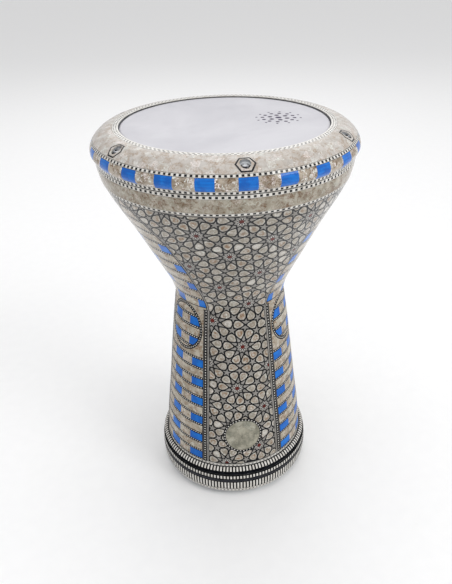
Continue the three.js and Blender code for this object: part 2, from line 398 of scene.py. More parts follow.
@dataclass(frozen=True)
class Recipe:
    """What all finishes share: lacquer or bare surface over a colour.

    Attributes:
        roughness: Roughness before wear.
        wear: How much smears add to it.
        coat: Weight of the clear lacquer.
        metallic: Share of bare metal.
        relief: Depth of the bump.
    """

    roughness: float = 0.3
    wear: float = 0.12
    coat: float = 0.85
    metallic: float = 0.0
    relief: float = 0.06

    def colour(self, w: Wiring, shelf: EffectShelf) -> tuple[object, object]:
        """Gives the base colour and the height that feeds the bump.

        Args:
            w: The material's wiring.
            shelf: The shared groups.

        Returns:
            Colour and height sockets.
        """
        raise NotImplementedError

    def material(self, name: str, shelf: EffectShelf) -> bpy.types.Material:
        """Builds the Blender material.

        Args:
            name: The material's name.
            shelf: The shared groups.

        Returns:
            The material.
        """
        made = bpy.data.materials.new(name)
        made.use_nodes = True
        w = Wiring(made.node_tree)
        shader = w.node("ShaderNodeBsdfPrincipled")
        out = w.node("ShaderNodeOutputMaterial")
        w.join(shader.outputs[0], out.inputs["Surface"])
        colour, height = self.colour(w, shelf)
        rub = w.node("ShaderNodeGroup", node_tree=shelf.lacquer)
        w.fill(rub, {"Roughness": self.roughness, "Wear": self.wear})
        bump = w.node("ShaderNodeBump")
        w.fill(bump, {"Strength": self.relief, "Distance": BUMP_DEPTH, "Height": height})
        coat: object = self.coat
        if self.coat > FULL_COAT:
            place = w.node("ShaderNodeSeparateXYZ")
            w.join(w.place(), place.inputs[0])
            coat = w.span(place.outputs["Z"], *COAT_RISE, THIN_COAT * self.coat,
                          THICK_COAT * self.coat)
        w.fill(shader, {"Base Color": colour, "Roughness": rub.outputs["Roughness"],
                        "Normal": bump.outputs[0], "Metallic": self.metallic,
                        "Coat Weight": coat, "Coat Roughness": COAT_ROUGHNESS,
                        "Coat IOR": COAT_IOR})
        if not self.metallic:
            shader.inputs["Specular IOR Level"].default_value = SPECULAR
        return made


@dataclass(frozen=True)
class ShellFinish(Recipe):
    """Mother-of-pearl chips set in clear resin."""

    ground: Colour = (0.6, 0.55, 0.48)
    cloud: Colour = (0.5, 0.46, 0.4)
    fleck: Colour = (0.3, 0.2, 0.12)
    glint: Colour = (0.9, 0.9, 0.88)
    chips: float = 260.0
    fleck_share: float = 0.5
    glint_share: float = 0.4
    hearted: bool = False

    def colour(self, w: Wiring, shelf: EffectShelf) -> tuple[object, object]:
        """Colours the chips, and browns the heart of a hearted piece.

        Args:
            w: The material's wiring.
            shelf: The shared groups.

        Returns:
            Colour and height sockets.
        """
        figure = w.node("ShaderNodeGroup", node_tree=shelf.shell_figure)
        w.fill(figure, {"Ground": self.ground, "Cloud": self.cloud, "Fleck": self.fleck,
                        "Glint": self.glint, "Chips": self.chips,
                        "Fleck Share": self.fleck_share, "Glint Share": self.glint_share})
        colour = figure.outputs["Colour"]
        if self.hearted:
            heart = w.node("ShaderNodeAttribute", attribute_name="heart")
            tone = w.node("ShaderNodeAttribute", attribute_name="tone")
            hue = w.blend(w.span(tone.outputs["Fac"], 0.1, 0.8), linear(140, 133, 120),
                          linear(132, 100, 68))
            pale = w.span(tone.outputs["Fac"], 0.9, 0.94)
            hue = w.blend(pale, hue, linear(202, 198, 192))
            cloud = w.noise(w.place(), 330.0, 4.0, 0.7)
            mask = w.sum("MULTIPLY", w.span(heart.outputs["Fac"], 0.25, 0.95),
                         w.span(cloud.outputs[0], 0.36, 0.6, 0.05, 0.95))
            colour = w.blend(mask, colour, hue)
        return colour, figure.outputs["Height"]


@dataclass(frozen=True)
class PlainFinish(Recipe):
    """One substance that drifts between two shades."""

    shade: Colour = (0.5, 0.5, 0.5)
    other: Colour = (0.4, 0.4, 0.4)
    size: float = 60.0
    grain: float = 0.2
    by_piece: float = 0.0
    # Dark colour painted onto upright faces as a painted reflection of dark surroundings;
    # None for none.
    rim: Colour | None = None

    def colour(self, w: Wiring, shelf: EffectShelf) -> tuple[object, object]:
        """Colours the substance; upright faces take the rim colour, a painted dark
        reflection.

        Args:
            w: The material's wiring.
            shelf: The shared groups.

        Returns:
            Colour and height sockets.
        """
        drift = w.node("ShaderNodeGroup", node_tree=shelf.drift)
        w.fill(drift, {"Shade": self.shade, "Other": self.other, "Size": self.size,
                       "Grain": self.grain, "By Piece": self.by_piece})
        colour = drift.outputs["Colour"]
        if self.rim:
            # Painted reflection: the colour goes to the dark rim colour as the normal tilts
            # from up towards level.
            painted_reflection_tilt = w.node("ShaderNodeSeparateXYZ")
            w.join(w.place("Normal"), painted_reflection_tilt.inputs[0])
            colour = w.blend(w.span(painted_reflection_tilt.outputs["Z"], 0.5, 0.97), self.rim, colour)
        return colour, drift.outputs["Height"]


RECIPES: dict[Finish, Recipe] = {
    Finish.LINE: PlainFinish(
        roughness=0.5, shade=linear(5, 6, 9), other=linear(16, 18, 23), grain=0.3),
    Finish.GROUND: ShellFinish(
        ground=linear(150, 147, 143), cloud=linear(136, 133, 128),
        fleck=linear(120, 112, 100), glint=linear(182, 180, 176), chips=330.0,
        fleck_share=0.35, glint_share=0.25),
    Finish.PETAL: ShellFinish(
        ground=linear(188, 183, 173), cloud=linear(162, 156, 145),
        fleck=linear(126, 104, 78), glint=linear(238, 236, 232), chips=420.0,
        fleck_share=0.5, glint_share=0.7, hearted=True),
    Finish.RED: PlainFinish(shade=linear(104, 32, 24), other=linear(70, 18, 16), grain=0.4),
    Finish.PEARL: ShellFinish(
        ground=linear(184, 176, 160), cloud=linear(162, 151, 134),
        fleck=linear(124, 90, 58), glint=linear(226, 222, 214), chips=210.0,
        fleck_share=0.85, glint_share=0.7),
    Finish.TOP_PEARL: ShellFinish(
        ground=linear(198, 193, 187), cloud=linear(186, 178, 169),
        fleck=linear(150, 122, 92), glint=linear(238, 236, 233), chips=150.0,
        fleck_share=0.6, glint_share=0.6),
    # Painted shade: the shoulder band's pearl, darker than the plain pearl mosaic, stands in
    # for the shade the ring casts on it.
    Finish.PAINTED_SHADE_PEARL: ShellFinish(
        ground=linear(176, 169, 154), cloud=linear(146, 136, 118),
        fleck=linear(104, 72, 42), glint=linear(212, 208, 198), chips=210.0,
        fleck_share=0.85, glint_share=0.6),
    Finish.BRIGHT_PEARL: ShellFinish(
        ground=linear(188, 176, 160), cloud=linear(146, 132, 114),
        fleck=linear(108, 80, 52), glint=linear(246, 242, 240), chips=260.0,
        fleck_share=0.95, glint_share=1.0),
    Finish.DISC: ShellFinish(
        ground=linear(168, 164, 148), cloud=linear(134, 132, 118),
        fleck=linear(100, 99, 86), glint=linear(204, 202, 192), chips=90.0, fleck_share=0.5,
        glint_share=0.35),
    Finish.BLUE: PlainFinish(
        roughness=0.35, shade=linear(3, 118, 212), other=linear(2, 92, 182), size=90.0,
        grain=0.1, by_piece=0.4),
    Finish.BONE: PlainFinish(
        shade=linear(229, 227, 222), other=linear(208, 204, 196), size=140.0, grain=0.3),
    Finish.JET: PlainFinish(
        roughness=0.5, shade=linear(4, 5, 7), other=linear(13, 14, 18), grain=0.3),
    Finish.EBONY: PlainFinish(
        roughness=0.45, shade=linear(18, 20, 25), other=linear(38, 40, 46), size=110.0,
        grain=0.35),
    Finish.CAST: PlainFinish(
        roughness=0.42, wear=0.2, coat=0.0, metallic=1.0, relief=0.5,
        shade=linear(184, 187, 190), other=linear(150, 152, 155), size=70.0, grain=0.3),
    # The chrome's rim colour is a painted dark reflection on the bolt dome's upright sides.
    Finish.CHROME: PlainFinish(
        roughness=0.1, wear=0.1, coat=0.0, metallic=1.0, relief=0.05,
        shade=linear(184, 185, 188), other=linear(156, 157, 162), size=160.0, grain=0.2,
        rim=linear(40, 42, 46)),
    Finish.HOOP: PlainFinish(
        roughness=0.3, coat=0.0, metallic=1.0, relief=0.2, shade=linear(190, 193, 196),
        other=linear(160, 163, 166)),
    Finish.BRASS: PlainFinish(
        roughness=0.3, coat=0.0, metallic=1.0, relief=0.15, shade=linear(182, 146, 84),
        other=linear(150, 116, 62)),
    Finish.FILM: PlainFinish(
        roughness=0.38, wear=0.1, coat=0.25, relief=0.03, shade=linear(200, 199, 204),
        other=linear(186, 185, 191), size=7.0, grain=0.1),
    Finish.INK: PlainFinish(
        roughness=0.5, coat=0.1, shade=linear(46, 34, 60), other=linear(62, 48, 78),
        size=120.0, grain=0.4),
}


class Palette:
    """Materials by finish, each made the first time it is asked for."""

    def __init__(self) -> None:
        """Builds the shared groups."""
        self.shelf = EffectShelf()
        self.made: dict[Finish, bpy.types.Material] = {}

    def material(self, finish: Finish) -> bpy.types.Material:
        """Gives the material of a finish.

        Args:
            finish: The finish wanted.

        Returns:
            Its Blender material.
        """
        if finish not in self.made:
            self.made[finish] = RECIPES[finish].material(finish.value.replace(" ", "_"),
                                                         self.shelf)
        return self.made[finish]


PALETTE = Palette()


# ---------------------------- geometry tools
class Outline:
    """A smooth outline of [radius, height] points, read by its length.

    It runs upwards on the outside of the drum, so its normal points outwards.
    """

    def __init__(self, points: Sequence[Point], smooth: bool = True) -> None:
        """Samples the outline.

        Args:
            points: Radius and height of its points.
            smooth: Whether it curves between the points.
        """
        given = np.array(points, float)
        chord = np.concatenate([[0.0], np.cumsum(np.hypot(*np.diff(given, axis=0).T))])
        at = np.linspace(0.0, chord[-1], max(3, int(chord[-1] / SAMPLE_STEP) + 1))
        if smooth and len(given) > 2:
            self.radius = self._curve(chord, given[:, 0], at)
            self.height = self._curve(chord, given[:, 1], at)
        else:
            self.radius = np.interp(at, chord, given[:, 0])
            self.height = np.interp(at, chord, given[:, 1])
        steps = np.hypot(np.diff(self.radius), np.diff(self.height))
        self.length = np.concatenate([[0.0], np.cumsum(steps)])
        self.out_r = np.gradient(self.height, self.length)
        self.out_z = -np.gradient(self.radius, self.length)

    @staticmethod
    def _curve(chord: np.ndarray, value: np.ndarray, at: np.ndarray) -> np.ndarray:
        """Cubic curve through values, with slopes from their neighbours.

        Args:
            chord: Where the values lie.
            value: The values.
            at: Where the curve is read.

        Returns:
            The curve's values.
        """
        step = np.diff(chord)
        rise = np.diff(value) / step
        slope = np.empty_like(value)
        slope[0], slope[-1] = rise[0], rise[-1]
        slope[1:-1] = ((rise[:-1] * step[1:] + rise[1:] * step[:-1])
                       / (step[1:] + step[:-1]))
        i = np.clip(np.searchsorted(chord, at, side="right") - 1, 0, len(step) - 1)
        h = step[i]
        t = (at - chord[i]) / h
        return ((1 + 2 * t) * (1 - t) ** 2 * value[i] + t * (1 - t) ** 2 * h * slope[i]
                + t * t * (3 - 2 * t) * value[i + 1] + t * t * (t - 1) * h * slope[i + 1])

    @property
    def total(self) -> float:
        """Whole length."""
        return float(self.length[-1])

    def place(self, azimuth: float, along: float, depth: float = 0.0) -> Vector:
        """Gives a point on the outline's surface of revolution.

        Args:
            azimuth: Degrees from the front.
            along: Length along the outline.
            depth: How far under the surface.

        Returns:
            The point, in millimetres.
        """
        r = np.interp(along, self.length, self.radius)
        z = np.interp(along, self.length, self.height)
        r -= depth * np.interp(along, self.length, self.out_r)
        z -= depth * np.interp(along, self.length, self.out_z)
        return on_drum(float(r), azimuth, float(z))

    def along(self, height: float) -> float:
        """Length at a height."""
        return float(np.interp(height, self.height, self.length))

    def radius_at(self, height: float) -> float:
        """Radius at a height."""
        return float(np.interp(height, self.height, self.radius))


def on_drum(radius: float, azimuth: float, height: float) -> Vector:
    """Point at a radius, azimuth in degrees and height."""
    a = math.radians(azimuth)
    return Vector((radius * math.sin(a), -radius * math.cos(a), height))


def circle(x: float, y: float, radius: float, count: int) -> Loop:
    """Closed loop of points round a centre."""
    turns = (math.tau * k / count for k in range(count))
    return [(x + radius * math.cos(t), y + radius * math.sin(t)) for t in turns]


def polar(centre: Point, radius: float, degrees: float) -> Point:
    """Point at a distance and direction from a centre."""
    t = math.radians(degrees)
    return centre[0] + radius * math.cos(t), centre[1] + radius * math.sin(t)


def spin(shape: Sequence[Point], centre: Point, degrees: float) -> Loop:
    """Turns a shape drawn about the origin and moves it to a centre."""
    c, s = math.cos(math.radians(degrees)), math.sin(math.radians(degrees))
    return [(centre[0] + x * c - y * s, centre[1] + x * s + y * c) for x, y in shape]


def shrunk(loop: Loop, by: float) -> Loop:
    """Moves each side of a counter-clockwise loop inwards.

    Args:
        loop: The corners.
        by: Distance moved.

    Returns:
        The smaller loop.
    """
    made = []
    for i, (x, y) in enumerate(loop):
        (ax, ay), (bx, by_) = loop[i - 1], loop[(i + 1) % len(loop)]
        ux, uy = x - ax, y - ay
        vx, vy = bx - x, by_ - y
        lu, lv = math.hypot(ux, uy), math.hypot(vx, vy)
        nux, nuy, nvx, nvy = -uy / lu, ux / lu, -vy / lv, vx / lv
        share = by / max(0.15, 1 + nux * nvx + nuy * nvy)
        made.append((x + (nux + nvx) * share, y + (nuy + nvy) * share))
    return made


def rounded(loop: Loop, cut: float, steps: int = 3) -> Loop:
    """Rounds every corner of a loop.

    Args:
        loop: The corners.
        cut: Length taken off each side at a corner.
        steps: Sides given to each corner.

    Returns:
        The rounded loop.
    """
    made = []
    for i, (x, y) in enumerate(loop):
        ends = []
        for ox, oy in (loop[i - 1], loop[(i + 1) % len(loop)]):
            length = math.hypot(ox - x, oy - y)
            share = min(cut, 0.45 * length) / length
            ends.append((x + (ox - x) * share, y + (oy - y) * share))
        (ax, ay), (bx, by) = ends
        for k in range(steps + 1):
            t = k / steps
            made.append(((1 - t) ** 2 * ax + 2 * t * (1 - t) * x + t * t * bx,
                         (1 - t) ** 2 * ay + 2 * t * (1 - t) * y + t * t * by))
    return made


@dataclass
class Skin:
    """Points and faces gathered for one piece, each face with its own finish."""

    points: list[Vector] = field(default_factory=list)
    faces: list[tuple[int, ...]] = field(default_factory=list)
    finishes: list[Finish] = field(default_factory=list)
    tones: list[float] = field(default_factory=list)
    hearts: dict[int, float] = field(default_factory=dict)

    def point(self, place: Vector, heart: float = 0.0) -> int:
        """Adds a point in millimetres and returns its number.

        Args:
            place: The point, in millimetres.
            heart: 1 at the heart of a petal.

        Returns:
            The point's number.
        """
        self.points.append(place * MM)
        if heart:
            self.hearts[len(self.points) - 1] = heart
        return len(self.points) - 1

    def face(self, corners: Sequence[int], finish: Finish, tone: float = 0.5) -> None:
        """Adds a face.

        Args:
            corners: Numbers of its points.
            finish: Its finish.
            tone: Its own tone, 0 to 1.
        """
        self.faces.append(tuple(corners))
        self.finishes.append(finish)
        self.tones.append(tone)

    def lathe(self, loop: Sequence[Point], finish: Callable[[int], Finish],
              closed: bool = True) -> None:
        """Revolves a loop whose outer side runs upwards.

        Args:
            loop: Radius and height of its points.
            finish: Gives the finish of the side that starts at a point.
            closed: Whether the last point joins the first.
        """
        rings = [[self.point(on_drum(r, TURN * k / ROUND, z)) for k in range(ROUND)]
                 for r, z in loop]
        for i in range(len(rings) if closed else len(rings) - 1):
            low, high = rings[i], rings[(i + 1) % len(rings)]
            for k in range(ROUND):
                n = (k + 1) % ROUND
                self.face((low[k], low[n], high[n], high[k]), finish(i))

    def grid(self, place: Callable[[int, int, float], Vector], columns: int, rows: int,
             finish: Callable[[int, int], Finish], thickness: float, wraps: bool) -> None:
        """Builds a sheet of square cells with a back and edges.

        Args:
            place: Gives the point of a column, row and depth.
            columns: Cells across.
            rows: Cells up.
            finish: Gives the finish of a cell.
            thickness: Thickness of the sheet.
            wraps: Whether the last column joins the first.
        """
        wide = columns if wraps else columns + 1
        number = [[[self.point(place(i, j, depth)) for i in range(wide)]
                   for j in range(rows + 1)] for depth in (0.0, thickness)]
        front, back = number
        for j in range(rows):
            for i in range(columns):
                n = (i + 1) % wide
                tone = 0.5 + 0.5 * math.sin(i * 12.9898 + j * 78.233)
                self.face((front[j][i], front[j][n], front[j + 1][n], front[j + 1][i]),
                          finish(i, j), tone)
                self.face((back[j][i], back[j + 1][i], back[j + 1][n], back[j][n]),
                          Finish.JET)
        for i in range(columns):
            n = (i + 1) % wide
            self.face((front[0][i], back[0][i], back[0][n], front[0][n]), finish(i, 0))
            self.face((front[rows][i], front[rows][n], back[rows][n], back[rows][i]),
                      finish(i, rows - 1))
        if not wraps:
            for j in range(rows):
                self.face((front[j][0], front[j + 1][0], back[j + 1][0], back[j][0]),
                          finish(0, j))
                self.face((front[j][columns], back[j][columns], back[j + 1][columns],
                           front[j + 1][columns]), finish(columns - 1, j))

    def piece(self, name: str, weld: bool = False) -> Piece:
        """Turns what was gathered into an object.

        Args:
            name: The piece's name.
            weld: Whether points in the same place become one.

        Returns:
            The object, smooth except at its corners.
        """
        mesh = bpy.data.meshes.new(name)
        mesh.from_pydata(self.points, [], self.faces)
        used = list(dict.fromkeys(self.finishes))
        for finish in used:
            mesh.materials.append(PALETTE.material(finish))
        mesh.polygons.foreach_set("material_index", [used.index(f) for f in self.finishes])
        tone = mesh.attributes.new("tone", "FLOAT", "FACE")
        tone.data.foreach_set("value", self.tones)
        heart = mesh.attributes.new("heart", "FLOAT", "POINT")
        heart.data.foreach_set("value", [self.hearts.get(i, 0.0)
                                         for i in range(len(self.points))])
        if weld:
            work = bmesh.new()
            work.from_mesh(mesh)
            bmesh.ops.remove_doubles(work, verts=work.verts, dist=1e-6)
            bmesh.ops.dissolve_degenerate(work, edges=work.edges, dist=1e-7)
            work.to_mesh(mesh)
            work.free()
        mesh.validate()
        mesh.shade_smooth()
        mesh.set_sharp_from_angle(angle=math.radians(SHARP_ANGLE))
        made = bpy.data.objects.new(name, mesh)
        bpy.context.scene.collection.objects.link(made)
        return made


@dataclass
class Cell:
    """One closed shape of a flat pattern.

    Attributes:
        loop: Its corners.
        finish: Its finish, or None where it is a hole.
        rank: Which shape wins where two overlap.
        tone: Its own tone, 0 to 1.
        framed: Whether it shows only inside the pattern's window.
        heart: 1 where its corners mark the heart of a petal.
    """

    loop: Loop
    finish: Finish | None
    rank: int = 1
    tone: float = 0.5
    framed: bool = False
    heart: float = 0.0


@dataclass
class Marquetry:
    """A flat pattern that is cut into triangles and laid on a curved surface.

    Attributes:
        border: The sheet's own outline.
        ground: Finish where no cell lies.
        window: Outline that framed cells stay inside, if there is one.
        mesh_step: Spacing of the points that let the sheet follow a curve.
    """

    border: Loop
    ground: Finish
    window: Loop | None = None
    mesh_step: float = 5.0
    cells: list[Cell] = field(default_factory=list)

    def add(self, loop: Loop, finish: Finish | None, rank: int = 1, tone: float = 0.5,
            framed: bool = False, heart: float = 0.0) -> None:
        """Adds a cell, turned counter-clockwise.

        Args:
            loop: Its corners.
            finish: Its finish, or None for a hole.
            rank: Which shape wins where two overlap.
            tone: Its own tone, 0 to 1.
            framed: Whether it stays inside the window.
            heart: 1 at the heart of a petal.
        """
        area = sum(a[0] * b[1] - b[0] * a[1] for a, b in zip(loop, loop[1:] + loop[:1]))
        self.cells.append(Cell(loop if area > 0 else loop[::-1], finish, rank, tone,
                               framed, heart))

    def _grid(self) -> list[Vector]:
        """Loose points over the border's box.

        Returns:
            The points.
        """
        xs, ys = zip(*self.border)
        step = self.mesh_step
        wide, tall = (int((max(v) - min(v)) / step) for v in (xs, ys))
        return [Vector((min(xs) + (i + 0.5 + 0.25 * (j % 2)) * step,
                        min(ys) + (j + 0.5) * step))
                for i in range(wide) for j in range(tall)]

    def lay(self, skin: Skin, lift: Callable[[float, float, float], Vector],
            thickness: float = 0.0, seam: float | None = None) -> None:
        """Cuts the pattern and adds it to a skin.

        Args:
            skin: What the faces are added to.
            lift: Gives the place of a flat point at a depth.
            thickness: Thickness of the sheet, or 0 for its face alone.
            seam: Distance sideways at which the sheet meets itself.
        """
        base = Cell(self.border, self.ground, 0)
        extra = [Cell(self.window, self.ground, 0)] if self.window else []
        points, loops, hearts = [], [], []
        for cell in [base, *extra, *self.cells]:
            first = len(points)
            for a, b in zip(cell.loop, cell.loop[1:] + cell.loop[:1]):
                cuts = max(1, math.ceil(math.dist(a, b) / self.mesh_step))
                for k in range(cuts):
                    points.append(Vector(a).lerp(Vector(b), k / cuts))
            hearts += [cell.heart] * (len(points) - first)
            loops.append(list(range(first, len(points))))
        points += self._grid()
        hearts += [0.0] * (len(points) - len(hearts))
        flat, _, tris, sources, _, _ = delaunay_2d_cdt(points, [], loops, 0, 1e-4, True)
        place = np.array([(v.x, v.y) for v in flat])
        finder = PlaceFinder(place[np.array(tris)].mean(axis=1))
        framed = np.zeros(len(tris), bool)
        framed[finder.inside(self.window or self.border)] = True
        owner = np.full(len(tris), -1)
        owner[finder.inside(self.border)] = 0
        cells = [base, *sorted(self.cells, key=lambda cell: cell.rank)]
        for k, cell in enumerate(cells[1:], 1):
            hit = finder.inside(cell.loop)
            hit = hit[owner[hit] >= 0]
            owner[hit[framed[hit]] if cell.framed else hit] = k
        kept = [(tri, cells[k]) for tri, k in zip(tris, owner)
                if k >= 0 and cells[k].finish is not None]
        number = {}
        for depth in (0.0, thickness) if thickness else (0.0,):
            for i in {i for tri, _ in kept for i in tri}:
                heart = max((hearts[k] for k in sources[i]), default=0.0)
                number[i, depth] = skin.point(lift(flat[i].x, flat[i].y, depth),
                                              heart if depth == 0 else 0.0)
        uses: dict[tuple[int, int], Cell] = {}
        for tri, top in kept:
            skin.face([number[i, 0.0] for i in tri], top.finish, top.tone)
            if thickness:
                skin.face([number[i, thickness] for i in reversed(tri)], Finish.JET)
            for a, b in zip(tri, (*tri[1:], tri[0])):
                uses[a, b] = top
        if not thickness:
            return
        for (a, b), top in uses.items():
            on_seam = seam and min(abs(flat[a].x), abs(flat[b].x)) > seam - 0.01
            if (b, a) not in uses and not on_seam:
                skin.face((number[a, 0.0], number[a, thickness], number[b, thickness],
                           number[b, 0.0]), top.finish, top.tone)


class PlaceFinder:
    """Finds which of many flat places lie inside a loop."""

    def __init__(self, places: np.ndarray) -> None:
        """Sorts the places sideways.

        Args:
            places: Flat places, one a row.
        """
        self.order = np.argsort(places[:, 0])
        self.x, self.y = places[self.order].T

    def inside(self, loop: Loop) -> np.ndarray:
        """Gives the numbers of the places inside a loop.

        Args:
            loop: The corners.

        Returns:
            The places' numbers.
        """
        corners = np.array(loop)
        (left, low), (right, high) = corners.min(axis=0), corners.max(axis=0)
        first, last = np.searchsorted(self.x, (left, right))
        near = first + np.nonzero((self.y[first:last] >= low)
                                  & (self.y[first:last] <= high))[0]
        x, y = self.x[near][:, None], self.y[near][:, None]
        (ax, ay), (bx, by) = corners.T, np.roll(corners, -1, axis=0).T
        spans = (ay > y) != (by > y)
        rise = np.where(by == ay, 1.0, by - ay)
        crossed = spans & (x < ax + (y - ay) * (bx - ax) / rise)
        return self.order[near[crossed.sum(axis=1) % 2 == 1]]


def settle(piece: Piece, body: str, slot: str, *nodes: str) -> Piece:
    """Puts a piece on its body and hides the CAD nodes it stands for.

    Args:
        piece: The finished object.
        body: Body it rides on.
        slot: Material slot name; not used.
        nodes: CAD nodes it replaces.

    Returns:
        The piece.
    """
    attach(piece, body)
    if nodes:
        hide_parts(*nodes)
    return piece


def beads(count: int, share: float) -> list[float]:
    """Azimuths at which beads and the gaps between them begin, round the whole drum."""
    pitch = TURN / count
    return [(k + s) * pitch for k in range(count) for s in (0.0, share)]


def ring_skin(name: str, outline: Outline, azimuths: Sequence[float],
              lengths: Sequence[float], finish: Callable[[int, int], Finish],
              thickness: float = 1.0) -> Piece:
    """Builds a sheet right round the drum.

    Args:
        name: The piece's name.
        outline: Its outline.
        azimuths: Where its columns begin.
        lengths: Where its rows begin and end, along the outline.
        finish: Gives the finish of a column and row.
        thickness: Its thickness.

    Returns:
        The object.
    """
    skin = Skin()
    skin.grid(lambda i, j, d: outline.place(azimuths[i], lengths[j], d),
              len(azimuths), len(lengths) - 1, finish, thickness, True)
    return skin.piece(name)


def string_skin(name: str, points: Sequence[Point], count: int, bead: float,
                margins: tuple[float, float] = (0.25, 0.25)) -> Piece:
    """Builds a pale string inlay with a row of black squares.

    Args:
        name: The piece's name.
        points: Its outline.
        count: Squares round the drum.
        bead: Share of the pitch that a square takes.
        margins: Share of the width left pale below and above the squares.

    Returns:
        The object.
    """
    outline = Outline(points, smooth=False)
    low, high = margins[0] * outline.total, (1 - margins[1]) * outline.total
    return ring_skin(name, outline, beads(count, bead), [0.0, low, high, outline.total],
                     lambda i, j: Finish.JET if j == 1 and i % 2 == 0 else Finish.BONE)


# ---------------------------- the drum
@dataclass
class DrumSurface:
    """The inlaid outside of the shell, with the flat coordinates used to lay patterns.

    Flat x is the distance round the drum and flat y the height, up to the waist, and
    above it the length along the flaring bowl.

    Attributes:
        waist: Height where flat y starts to follow the bowl.
        low: Height of the inlay's foot.
        high: Height of the inlay's top.
        panel_pitch: Degrees from one star panel to the next.
        string_azimuth: Degrees from a star panel's middle to its strings.
        string_half: Half of a string's width, degrees.
        string_top: Height where the strings end.
        profile: Radius and height of the inlaid outside.
        star_edge: Height and half width in degrees of a star panel above the waist.
        outline: The sampled profile.
        waist_length: Length of the profile up to the waist.
    """

    waist: float = 265.0
    low: float = 48.0
    high: float = 403.6
    panel_pitch: float = 120.0
    string_azimuth: float = 32.4
    string_half: float = 1.9
    string_top: float = 258.4
    profile: Profile = (
        (89.3, 48.0), (86.1, 83.7), (81.1, 123.7), (73.1, 193.7), (68.8, 228.7),
        (65.9, 250.0), (65.0, 258.7), (65.8, 265.0), (69.8, 278.7), (77.5, 295.0),
        (86.8, 313.7), (106.7, 353.7), (128.0, 393.7), (132.6, 403.6))
    star_edge: Profile = (
        (265.0, 31.3), (278.7, 33.5), (295.0, 35.6), (313.7, 37.4), (353.7, 43.6),
        (393.7, 55.6), (403.6, 59.4))
    outline: Outline = field(init=False)
    waist_length: float = field(init=False)

    def __post_init__(self) -> None:
        """Samples the outline."""
        self.outline = Outline(self.profile)
        self.waist_length = self.outline.along(self.waist)

    def height(self, y: float) -> float:
        """Height of a flat y.

        Args:
            y: Flat y.

        Returns:
            The height.
        """
        if y <= self.waist:
            return y
        along = self.waist_length + y - self.waist
        return float(np.interp(along, self.outline.length, self.outline.height))

    def flat_y(self, height: float) -> float:
        """Flat y of a height.

        Args:
            height: Height on the drum.

        Returns:
            The flat y.
        """
        if height <= self.waist:
            return height
        return self.waist + self.outline.along(height) - self.waist_length

    def edge(self, height: float) -> float:
        """Half width of a star panel in degrees, to the middle of its edge line.

        Args:
            height: Height on the drum.

        Returns:
            Degrees from the middle of the panel.
        """
        if height <= self.string_top + 1:
            return self.string_azimuth
        heights, degrees = zip(*self.star_edge)
        return float(np.interp(height, heights, degrees))

    def lay(self, middle: float, x: float, y: float, depth: float) -> Vector:
        """Place of a flat point of the panel whose middle is at an azimuth.

        Args:
            middle: Azimuth of the panel's middle.
            x: Flat x.
            y: Flat y.
            depth: How far under the surface.

        Returns:
            The place, in millimetres.
        """
        z = self.height(y)
        turn = math.degrees(x / self.outline.radius_at(z))
        return self.outline.place(middle + turn, self.outline.along(z), depth)


